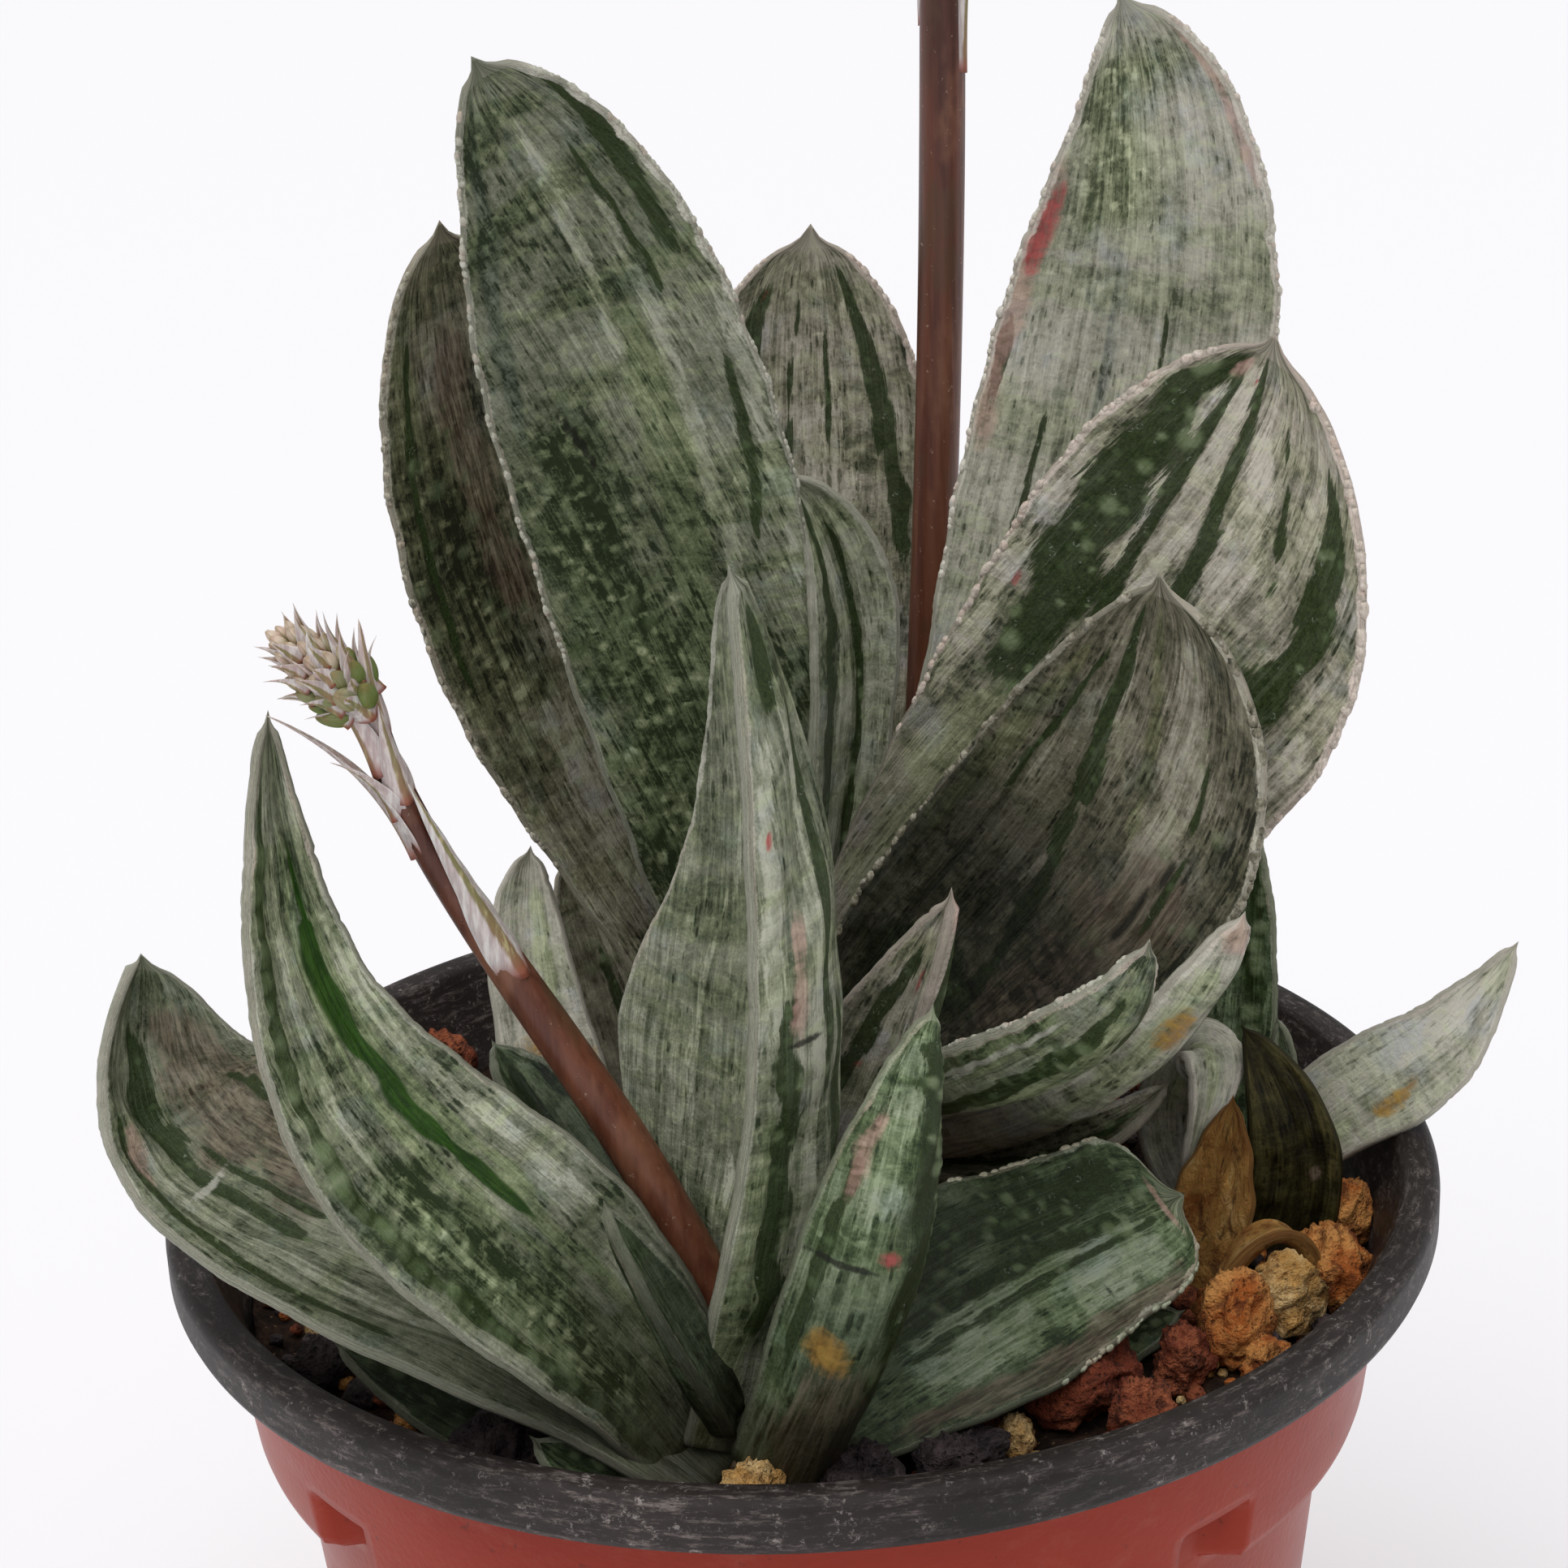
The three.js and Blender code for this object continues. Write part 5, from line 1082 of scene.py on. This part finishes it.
def blade(at, way, out, length, width, lean, inset, curl, rows, cols, thick, seed):
    """Thin pointed bract: it clasps the stem at its foot and leans out to a long point.

    Gives points, faces, how far along each point lies and how far from the middle.
    """
    side = unit(np.cross(way, out))
    s = np.linspace(0, 1, rows)[:, None]
    u = np.linspace(-1, 1, cols)[None, :]
    swell = 0.85 + 0.15 * np.sin(math.pi * np.clip(s * 2.2, 0, 1))
    half = (width / 2) * swell * np.maximum(0, 1 - s ** 1.35) + 0.07
    bend = lean * s
    waves = 0.03 * ripple(s * length * 0.35 + 3 * np.sign(u), seed)
    ragged = waves * width / 3 * np.abs(u) ** 3
    forward = length * s * np.cos(bend)
    away = inset + length * s * np.sin(bend) + 0.12 * length * s ** 2 * math.sin(lean)
    hug = -curl * (1 - 0.3 * s) * np.abs(u) ** 1.6 * half + ragged
    foot = -0.2 * width * (1 - s) ** 5 * (1 - u * u)
    layers = []
    for skin in (1, -1):
        depth = hug + away + skin * 0.5 * thick * (1 - 0.7 * s) * (1 - 0.85 * np.abs(u) ** 1.2)
        grid = at + way * (forward + foot)[..., None] + side * ((half + ragged) * u)[..., None]
        grid = grid + out * depth[..., None]
        layers.append(grid if skin > 0 else grid[:, ::-1])
    rings = np.concatenate(layers, axis=1)
    tip = rings[-1].mean(0) + unit(rings[-1].mean(0) - rings[-3].mean(0)) * 0.4
    points, faces = closed_tube(rings, rings[0].mean(0), tip)
    spread = np.concatenate([np.repeat(s[:, 0], 2 * cols), [0, 1]])
    middle = np.concatenate([np.tile(np.concatenate([u[0], u[0, ::-1]]), rows), [0, 0]])
    return points, faces, spread, middle


def bud(at, way, length, width, rows=12, sides=12):
    """A closed bud with three ribs; gives the same as blade."""
    a = unit(np.cross(way, [0.3, 1, 0.2]))
    b = np.cross(way, a)
    s = np.linspace(0.04, 0.97, rows)
    turn = full_turn(sides)
    ribs = 1 + 0.05 * np.cos(3 * turn)
    radius = (width / 2) * np.sin(math.pi * s ** 0.85) ** 0.6
    ring = a * np.cos(turn)[:, None] + b * np.sin(turn)[:, None]
    rings = at + way * (length * s)[:, None, None] + ring * (radius[:, None] * ribs)[..., None]
    points, faces = closed_tube(rings, at, at + way * length)
    spread = np.concatenate([np.repeat(s, sides), [0, 1]])
    return points, faces, spread, np.concatenate([np.tile(np.cos(3 * turn), rows), [0, 0]])


def turned(way, angle):
    a, b = across_from(way)
    return a * math.cos(angle) + b * math.sin(angle)


class Bundle:
    """Several closed bodies in one piece, each with its kind of material and its own marks."""

    def __init__(self):
        self.points, self.marks, self.count = [], [], 0
        self.faces, self.kinds = {4: [], 3: []}, {4: [], 3: []}

    def add(self, points, faces, kind, spread=0, middle=0, tint=0.5):
        for group in faces:
            corners = group.shape[1]
            self.faces[corners].append(group + self.count)
            self.kinds[corners].append(np.full(len(group), kind))
        zero = np.zeros(len(points))
        self.marks.append(np.stack([zero + spread, zero + middle, zero + tint], -1))
        self.points.append(points)
        self.count += len(points)

    def link(self, node, materials):
        faces = [np.concatenate(self.faces[corners]) for corners in (4, 3)]
        kinds = np.concatenate(self.kinds[4] + self.kinds[3])
        piece = link(node, np.concatenate(self.points), faces, materials, kinds)
        add_vectors(piece.data, "marks", np.concatenate(self.marks))


# bracts: place along the stalk, turn round it in degrees, length, width and lift in degrees.
TALL_STALK = dict(
    path=[(12, 27, 6), (15.5, 32, 52), (17.5, 32, 96), (18, 31.5, 138)],
    radius=(2.4, 2.25, 2.2, 2.15, 1.8), rows=120,
    bracts=[(0.775, -25, 13, 3.4, 8), (0.742, 155, 14, 3.2, 4), (0.9, 60, 12, 3, 12)])
YOUNG_STALK = dict(
    path=[(-6, -37.5, 10), (-16.4, -33.5, 31.7), (-26.8, -32, 50), (-32.8, -32, 66.2)],
    radius=(2.1, 2, 1.8, 1.45, 1.2), rows=70,
    bracts=[(0.55, 140, 18.5, 3.4, 3), (0.77, 10, 16, 2.8, 19), (0.84, 40, 7, 2.4, 23),
            (0.865, 122, 8.5, 2.6, 8), (0.92, 45, 12.5, 2.8, 17), (0.98, 132, 10, 2.6, 4)])
# buds and bracts: how many, length and width; lean of the buds low down and at the top, degrees.
YOUNG_HEAD = dict(
    axis=[(-32.8, -32, 66.8), (-35.9, -32.7, 70.3), (-38.6, -33.2, 73.5)], core=(1.3, 2.1, 1.1),
    start=0.06, buds=(48, 3.6, 2.0), lean=(58, 12), bracts=(36, 3.7, 2.5))
TALL_HEAD = dict(
    axis=[(18, 31.5, 138.6), (18.2, 31.3, 151), (18.2, 31.2, 163)], core=(1.6, 1.6, 0.8),
    start=0.04, buds=(50, 6.5, 2.4), lean=(115, 35), bracts=(32, 7.5, 1.8))
GOLDEN = math.radians(137.5)
BRACT_SIGHT = 0.22
BRACT_SPREAD = 1.05
STALK_SIDES = 28
STEM, BRACT, BUD = 0, 1, 2


def stalk_piece(name, stalk):
    bundle = Bundle()
    along_stalk = np.repeat(np.linspace(0, 1, stalk["rows"]), STALK_SIDES)
    rings = rod(stalk["path"], stalk["radius"], stalk["rows"], STALK_SIDES)
    bundle.add(*rings, STEM, np.concatenate([along_stalk, [0, 1]]))
    for k, (place, turn, length, width, lift) in enumerate(stalk["bracts"]):
        at, _ = on_path(stalk["path"], np.array([place, min(1, place + BRACT_SIGHT)]))
        way = unit(at[1] - at[0])
        made = blade(at[0] - way * 0.3, way, turned(way, math.radians(turn)), length,
                     width * BRACT_SPREAD, math.radians(lift),
                     one_along(stalk["radius"], place) + 0.1,
                     curl=0.75, rows=34, cols=15, thick=0.45, seed=40 + k)
        bundle.add(*made[:2], BRACT, *made[2:], tint=0.3 + 0.2 * k)
    bundle.link(name, STALK_MATERIALS)


def head_piece(name, head, seed):
    draw = np.random.default_rng(seed)
    bundle = Bundle()
    bundle.add(*rod(head["axis"], head["core"], 24, 20), STEM)

    def places(count, end, turn_of):
        """Places on a spiral up the head: share of the way up, point, direction and way out."""
        for i in range(count):
            s = head["start"] + (end - head["start"]) * i / (count - 1)
            at, way = on_path(head["axis"], np.array([s]))
            yield i, s, at[0], way[0], turned(way[0], turn_of(i))

    count, length, width = head["buds"]
    for i, s, at, way, out in places(count, 0.985, lambda i: i * GOLDEN):
        lean = math.radians(head["lean"][0] + (head["lean"][1] - head["lean"][0]) * s ** 0.8)
        size = (1 - 0.5 * s) * draw.uniform(0.85, 1.1)
        aim = unit(way * math.cos(lean) + out * math.sin(lean))
        made = bud(at + out * (one_along(head["core"], s) * 0.5), aim, length * size, width * size)
        bundle.add(*made[:2], BUD, *made[2:], tint=np.clip(1 - s + draw.normal(0, 0.1), 0, 1))
    count, length, width = head["bracts"]
    for i, s, at, way, out in places(count, 0.96, lambda i: (i + 0.5) * GOLDEN * 1.6):
        reach = length * (1 - 0.45 * s) * draw.uniform(0.75, 1.2)
        lean = math.radians(34 - 24 * s + draw.normal(0, 4))
        inset = one_along(head["core"], s) + 0.7 * (1 - s) + 0.2
        made = blade(at, way, out, reach, width * (1 - 0.3 * s), lean, inset,
                     curl=0.7, rows=14, cols=9, thick=0.25, seed=70 + i)
        bundle.add(*made[:2], BRACT, *made[2:], tint=draw.uniform(0, 1))
    bundle.link(name, STALK_MATERIALS)


def stalk_material():
    """Red-brown, darker higher up, with scars and pale specks."""
    t = Tree("stalk_skin")
    place = t.place()
    run = t.noise(place, (900, 900, 50), 4, 0.6)
    blotch = t.noise(place, (160, 160, 70), 4, 0.65)
    colour = t.between(run, 0.36, 0.66, (92, 49, 33), (117, 69, 48))
    darker = t.between(run, 0.36, 0.66, (62, 28, 22), (96, 52, 42))
    colour = t.wash(colour, t.split(t.vector("marks"))[0], 0.25, 0.85, 0.75, darker)
    colour = t.wash(colour, blotch, 0.48, 0.66, 0.45, (150, 104, 78))
    colour = t.wash(colour, blotch, 0.45, 0.34, 0.5, (84, 62, 40))
    colour = t.wash(colour, t.noise(place, 1500.0, 3, 0.7), 0.66, 0.7, 0.4, (196, 170, 150))
    return t.finish(colour, 0.42, 0.45, (run, 0.35, 0.0003))


def bract_material():
    """Whitish membrane, an olive-gold keel and a reddish clasping foot."""
    t = Tree("bract_skin")
    spread, middle, tint = t.split(t.vector("marks"))
    veins = t.noise(t.place(), (2200, 2200, 300), 3, 0.6)
    colour = t.between(veins, 0.35, 0.7, (190, 174, 172), (236, 228, 224))
    olive = t.between(spread, 0.1, 0.5, (136, 106, 60), (124, 124, 66))
    olive = t.between(veins, 0.5, 0.7, olive, (178, 168, 112))
    wander = t.total(t.math("ABSOLUTE", middle), t.times(veins, 0.25))
    colour = t.wash(colour, wander, 0.5, 0.32, 0.9, olive)
    colour = t.wash(colour, t.math("ABSOLUTE", middle), 0.9, 1.0, 0.4, (246, 240, 238))
    foot = t.math("SUBTRACT", spread, t.times(veins, 0.06))
    colour = t.wash(colour, foot, 0.09, -0.02, 0.85, (150, 76, 56))
    colour = t.paint(colour, tint, 0.14, (206, 150, 146))
    return t.finish(colour, 0.5, 0.3, (veins, 0.4, 0.0002), (0.15, 0.001))


def bud_material():
    """Closed buds: green low down on the head, cream and rosy towards its top."""
    t = Tree("bud_skin")
    spread, rib, tint = t.split(t.vector("marks"))
    mottle = t.noise(t.place(), 900.0, 4, 0.6)
    colour = t.between(spread, 0.15, 0.8, (158, 150, 104), (222, 204, 184))
    colour = t.wash(colour, mottle, 0.46, 0.66, 0.45, (206, 164, 150))
    colour = t.wash(colour, tint, 0.42, 0.85, 0.9, (98, 122, 40))
    colour = t.wash(colour, rib, 0.6, 0.95, 0.5, (120, 116, 62))
    colour = t.wash(colour, spread, 0.8, 1.0, 0.5, (140, 112, 70))
    height = t.total(mottle, t.times(rib, 0.6))
    return t.finish(colour, 0.45, 0.4, (height, 0.4, 0.0004), (0.12, 0.001))


def crown_material():
    t = Tree("crown_skin")
    scales = t.noise(t.place(), (260, 260, 900), 4, 0.65)
    colour = t.between(scales, 0.35, 0.65, (92, 72, 52), (158, 140, 108))
    return t.finish(colour, 0.75, 0.3, (scales, 0.8, 0.001))


# ---- pot ----
POT_SEGMENTS = 320
SUNK = 0.35
OUT_OF_ROUND = ((0.16, 2, 0.7), (0.1, 3, 2.1))


def wall_at(z):
    return BASE_RADIUS + (WALL_TOP_RADIUS - BASE_RADIUS) * z / COLLAR_FOOT_Z


def collar_at(z):
    slope = (COLLAR_TOP_RADIUS - COLLAR_FOOT_RADIUS) / (COLLAR_DROP - RIM_DROP)
    return COLLAR_FOOT_RADIUS + slope * (z - COLLAR_FOOT_Z)


def notch_share(turn):
    """1 inside a notch, 0 on plain collar, smooth over the flanks."""
    sector = 2 * math.pi / NOTCH_COUNT
    away = (turn - math.radians(NOTCH_FIRST_DEG) + sector / 2) % sector - sector / 2
    flank = math.radians(NOTCH_FLANK_DEG)
    return smooth((math.radians(NOTCH_HALF_DEG) + flank - np.abs(away)) / flank)


def pot_piece():
    top, foot = POT_HEIGHT, COLLAR_FOOT_Z
    low_wall = wall_at(foot)
    notch_foot = top - NOTCH_DROP
    rim_foot = top - RIM_DROP
    lip = RIM_RADIUS - RIM_WIDTH
    # Radius, height and, where a notch cuts in, the radius there; from the base up, then inside.
    coloured = [(BASE_RADIUS - BASE_BEVEL, 0), (BASE_RADIUS - 0.5, 0.3),
                (wall_at(BASE_BEVEL), BASE_BEVEL)]
    coloured += [(wall_at(z), z) for z in np.linspace(4, foot - 2, 12)]
    coloured += [
        (low_wall, foot - 0.6), (low_wall + 0.5, foot - 0.25, low_wall),
        (COLLAR_FOOT_RADIUS - 0.7, foot, low_wall),
        (COLLAR_FOOT_RADIUS - 0.1, foot + 0.35, low_wall + 0.05),
        (collar_at(foot + 1.2), foot + 1.2, low_wall + 0.1),
        (collar_at(notch_foot - 1), notch_foot - 1, low_wall + 0.25),
        (collar_at(notch_foot), notch_foot, low_wall + SUNK)]
    for part in (0.2, 0.45, 0.7, 0.9, 1.0):
        z = notch_foot + NOTCH_ROOF * part
        sunk = low_wall + SUNK + (collar_at(z) - low_wall - SUNK) * part ** 2
        coloured.append((collar_at(z), z, sunk))
    coloured += [(collar_at(z), z)
                 for z in np.linspace(notch_foot + NOTCH_ROOF + 1, rim_foot - 0.8, 6)]
    coloured.append((COLLAR_TOP_RADIUS + 0.1, rim_foot - 0.25))
    black = [(COLLAR_TOP_RADIUS + 0.4, rim_foot), (RIM_RADIUS - 0.9, rim_foot),
             (RIM_RADIUS - 0.25, rim_foot + 0.2), (RIM_RADIUS, rim_foot + RIM_BEVEL),
             (RIM_RADIUS, top - 2.4), (RIM_RADIUS, top - LIP_ROUND)]
    for lift in np.radians(np.linspace(0, 90, 7)[1:]):
        black.append((RIM_RADIUS - LIP_ROUND * (1 - math.cos(lift)),
                      top - LIP_ROUND * (1 - math.sin(lift))))
    black += [(lip + 1.6, top), (lip + 0.5, top - 0.12), (lip, top - 0.8), (lip - 0.25, top - 2.5),
              (COLLAR_TOP_RADIUS - WALL, rim_foot - RIM_BEVEL),
              (collar_at(LEDGE_Z) - WALL, LEDGE_Z), (low_wall - WALL, LEDGE_Z - 2),
              (wall_at(FLOOR) - WALL, FLOOR)]
    turn = full_turn(POT_SEGMENTS)
    notch = notch_share(turn)
    wobble = sum(size * np.sin(count * turn + start) for size, count, start in OUT_OF_ROUND)
    rings = []
    for radius, z, *sunk in coloured + black:
        r = radius + ((sunk[0] if sunk else radius) - radius) * notch
        rings.append(level_ring(r + wobble * (z / POT_HEIGHT), z, turn))
    points, faces = closed_tube(np.array(rings), [0, 0, 0], [0, 0, FLOOR])
    rows = [0] * (len(coloured) - 1) + [1] * len(black)
    link("pot", points, faces, [terracotta_material(), black_material()],
         np.repeat(rows + [0, 1], POT_SEGMENTS))


def terracotta_material():
    """Satin red-brown plastic with cloudy patches, fine scuffs and some dust."""
    t = Tree("pot_terracotta")
    place = t.place()
    cloud = t.noise(place, (22, 22, 30), 4, 0.55)
    dust = t.noise(place, (70, 70, 130), 7, 0.72)
    colour = t.between(cloud, 0.35, 0.68, (148, 46, 27), (158, 54, 33))
    colour = t.wash(colour, dust, 0.5, 0.72, 0.16, (200, 140, 122))
    colour = t.wash(colour, t.noise(place, 700.0, 3, 0.7), 0.36, 0.3, 0.5, (96, 40, 30))
    height = t.total(t.noise(place, 1500.0, 2, 0.5), t.times(dust, 0.6))
    rough = t.total(t.times(dust, 0.3), 0.2)
    return t.finish(colour, rough, 0.17, (height, 0.12, 0.0004), (0.05, 0.002))


def black_material():
    """Black plastic rim, dusted and scuffed in short lines that run round it."""
    t = Tree("pot_black")
    place = t.place()
    x, y, z = t.split(place)
    radius = t.math("SQRT", t.total(t.times(x, x), t.times(y, y)))
    round_run = t.node("ShaderNodeCombineXYZ", {
        0: t.times(t.math("ARCTAN2", y, x), 12.0), 1: t.times(radius, 900.0), 2: t.times(z, 900.0)})
    scuff = t.noise(round_run.outputs[0], 1.5, 9, 0.82)
    dust = t.noise(place, 800.0, 8, 0.85)
    cloud = t.noise(place, 60.0, 4, 0.6)
    colour = t.between(cloud, 0.35, 0.7, (28, 22, 21), (50, 43, 41))
    crowd = t.times(t.step(cloud, 0.34, 0.64), 0.6)
    marks = t.times(t.step(scuff, 0.5, 0.66), t.total(crowd, 0.15))
    colour = t.paint(colour, marks, 0.75, (160, 147, 141))
    specks = t.times(t.step(dust, 0.56, 0.64), t.total(crowd, 0.25))
    colour = t.paint(colour, specks, 0.8, (182, 172, 166))
    rough = t.total(t.times(dust, 0.35), 0.3)
    return t.finish(colour, rough, 0.28, (t.total(scuff, dust), 0.3, 0.0006))


# ---- soil and gravel ----
# Place x and y, how far across, height, turn in degrees, and the kind of rock.
OCHRE, ORANGE, RED, LAVA = 1, 2, 3, 4
STONES = [
    (23.5, -32, 11, 8, 20, RED), (-5, -49, 5.8, 7.5, 10, OCHRE),
    (17.5, -38.5, 3.6, 3.4, 70, OCHRE), (4, -46.5, 7.5, 6, 30, LAVA),
    (12.5, -42.5, 9, 5, 5, LAVA), (-27, -38.5, 9, 6.5, 50, LAVA), (-38, 36, 7.5, 6, 15, RED),
    (43.5, -20, 8, 7, 40, OCHRE), (48.5, -15, 8, 6.5, 100, ORANGE),
    (38.5, -23.5, 8.5, 7, 75, ORANGE), (51, -4.5, 6.5, 6, 25, ORANGE),
    (33, -28.5, 6.5, 5, 60, RED), (28.5, -37, 6.5, 5, 85, RED), (40.5, -29.5, 5, 4, 35, ORANGE),
    (-44, -22, 6, 4, 30, LAVA), (10, 48, 7, 5, 20, ORANGE), (27, 44, 8, 5.5, 75, OCHRE),
    (-12, 47, 6.5, 5, 40, LAVA), (-48, 16, 7, 5, 55, ORANGE), (-44, -6, 7.5, 5, 25, LAVA),
    (38, 32, 7, 5, 60, ORANGE), (-34, 6, 6.5, 4.5, 70, OCHRE),
]
GRAIN_COUNT = 1350
GRAIN_SIZES, GRAIN_SIZE_ODDS = [1.2, 1.8, 2.6, 3.8], [0.35, 0.35, 0.2, 0.1]
GRAIN_KIND_ODDS = [0.14, 0.3, 0.24, 0.32]
SOIL_SEGMENTS = 160
SOIL_PLAY = 0.3


def rock(at, across, height, turn, seed, rows, sides, lumps=0.2):
    """A porous broken stone: a ball cut by flat breaks, then pushed in and out in knobs."""
    draw = np.random.default_rng(seed)
    way = ball(rows, sides)
    push = 1.0
    for _ in range(9):
        flat = way @ unit(draw.normal(size=3))
        push = np.minimum(push, draw.uniform(0.66, 0.98) / np.maximum(flat, 0.05))
    size = np.minimum(push, 1.25)
    for pace, amount in ((2.2, 0.8), (4.6, 0.6), (9.5, 0.42), (19, 0.22), (38, 0.1)):
        if pace * 3 > sides:
            break
        axes = draw.normal(size=(3, 3))
        wave = np.sin(pace * way @ axes.T + draw.uniform(0, 6.28, 3)).prod(-1)
        size = size + lumps * amount * (0.45 - 1.6 * np.abs(wave) ** 0.7)
    shape = way * size[..., None] * np.array([across / 2, across / 2 * 0.85, height / 2])
    c, s = math.cos(math.radians(turn)), math.sin(math.radians(turn))
    shape = shape @ np.array([[c, -s, 0], [s, c, 0], [0, 0, 1]]).T + np.array(at)
    return turned_out(*closed_tube(shape, shape[0].mean(0), shape[-1].mean(0)))


def soil_material():
    t = Tree("potting_mix")
    place = t.place()
    clods = t.noise(place, 420.0, 6, 0.7)
    colour = t.between(clods, 0.35, 0.7, (30, 22, 18), (78, 56, 42))
    colour = t.wash(colour, t.cells(place, 900.0), 0.16, 0.08, 0.6, (150, 120, 92))
    return t.finish(colour, 0.95, 0.2, (clods, 1.0, 0.002))


def rock_material(name, dark, middle, pale, porous):
    t = Tree(name)
    place = t.place()
    cloud = t.noise(place, 210.0, 6, 0.66)
    knobs = t.noise(place, 520.0, 5, 0.65)
    pores = t.noise(place, 1300.0, 4, 0.7)
    colour = t.between(cloud, 0.4, 0.6, middle, pale)
    holes = t.times(t.step(t.cells(place, 1100.0), 0.3, 0.1), porous)
    colour = t.paint(colour, holes, 0.8, dark)
    colour = t.wash(colour, knobs, 0.52, 0.36, 0.75, dark)
    colour = t.wash(colour, pores, 0.56, 0.68, 0.5, pale)
    height = t.total(t.times(knobs, 1.2), t.times(pores, 0.5))
    height = t.math("SUBTRACT", height, t.times(holes, 0.3))
    return t.finish(colour, 0.8, 0.35, (height, 1.0, 0.0018))


def soil_piece(materials):
    bundle = Bundle()
    turn = full_turn(SOIL_SEGMENTS)
    inside = collar_at(LEDGE_Z) - WALL - SOIL_PLAY
    rings = [level_ring(wall_at(FLOOR) - WALL - SOIL_PLAY, FLOOR + SOIL_PLAY, turn),
             level_ring(wall_at(COLLAR_FOOT_Z) - WALL - SOIL_PLAY, LEDGE_Z - 2, turn),
             level_ring(inside, LEDGE_Z + SOIL_PLAY, turn)]
    for radius in np.linspace(inside, 1.5, 46):
        x, y = radius * np.cos(turn), radius * np.sin(turn)
        z = BED_Z + 0.7 * ripple(x / 7 + 3, 3) * ripple(y / 7, 4)
        z = z + 0.5 * ripple(x / 2.2, 5) * ripple(y / 2.2, 6)
        rings.append(np.stack([x, y, z], -1))
    bundle.add(*closed_tube(np.array(rings), [0, 0, FLOOR + SOIL_PLAY], [0, 0, BED_Z]), 0)
    for k, (x, y, across, height, turned_by, kind) in enumerate(STONES):
        at = (x, y, SOIL_Z - 2.2 + (height + 1.4) / 2)
        rows, sides = (34, 46) if across > 6.2 else (22, 30)
        bundle.add(*rock(at, across * 1.06, height + 2.0, turned_by, 200 + k, rows, sides), kind)
    draw = np.random.default_rng(5)
    for _ in range(GRAIN_COUNT):
        radius = (inside - 1.2) * math.sqrt(draw.uniform())
        angle = draw.uniform(0, 2 * math.pi)
        size = draw.choice(GRAIN_SIZES, p=GRAIN_SIZE_ODDS) * draw.uniform(0.8, 1.2)
        kind = draw.choice([OCHRE, ORANGE, RED, LAVA], p=GRAIN_KIND_ODDS)
        at = (radius * math.cos(angle), radius * math.sin(angle),
              BED_Z + 0.25 * size + draw.uniform(-0.4, 0.5))
        bundle.add(*rock(at, size, size * 0.8, draw.uniform(0, 360), int(draw.integers(1e6)), 5, 8,
                         lumps=0.25), kind)
    bundle.link("soil", materials)


# ---- short stems: place, radius, foot and top over the soil ----
CROWNS = {
    "front_crown": [(-5, -41), 4.5, -7, 4], "rear_crown": [(3, 20), 6, -7, 12],
    "right_crown": [(41, 1), 3.5, -7, 0.5], "left_crown": [(-19, 22), 3.5, -7, 0.5],
}


def crown_piece(name, crown, material):
    (x, y), radius, foot, top = crown
    turn = full_turn(48)
    rings = []
    for part in np.linspace(0, 1, 30):
        scale_edge = 0.06 * ((part * 7) % 1)
        shape = np.interp(part, [0, 0.25, 0.85, 1], [0.8, 1, 0.9, 0.55]) - scale_edge
        r = radius * shape * (1 + 0.03 * np.sin(5 * turn + 9 * part))
        rings.append(level_ring(r, SOIL_Z + foot + (top - foot) * part, turn, x, y))
    points, faces = closed_tube(np.array(rings), [x, y, SOIL_Z + foot], [x, y, SOIL_Z + top])
    link(name, points, faces, [material])


# ---- assembly ----
make_camera()
make_studio()
make_floor()
SKIN_MATERIALS = {name: skin_material(name, *colours) for name, colours in SKINS.items()}
SKIN_MATERIALS["dry"] = dry_material()
for index, (leaf_name, leaf_data) in enumerate(LEAVES.items()):
    leaf_piece(leaf_name, leaf_data, 100 + 17 * index)
STALK_MATERIALS = [stalk_material(), bract_material(), bud_material()]
stalk_piece("tall_flower_stalk", TALL_STALK)
stalk_piece("young_flower_stalk", YOUNG_STALK)
head_piece("young_bud_head", YOUNG_HEAD, 21)
head_piece("tall_bud_head", TALL_HEAD, 22)
CROWN_SKIN = crown_material()
for crown_name, crown_data in CROWNS.items():
    crown_piece(crown_name, crown_data, CROWN_SKIN)
pot_piece()
soil_piece([
    soil_material(),
    rock_material("rock_ochre", (128, 84, 36), (208, 158, 88), (240, 206, 146), 0.5),
    rock_material("rock_orange", (96, 42, 14), (190, 104, 42), (228, 160, 88), 0.6),
    rock_material("rock_red", (58, 22, 12), (128, 58, 34), (172, 96, 62), 0.6),
    rock_material("rock_lava", (18, 14, 16), (56, 44, 46), (88, 74, 74), 0.8),
])
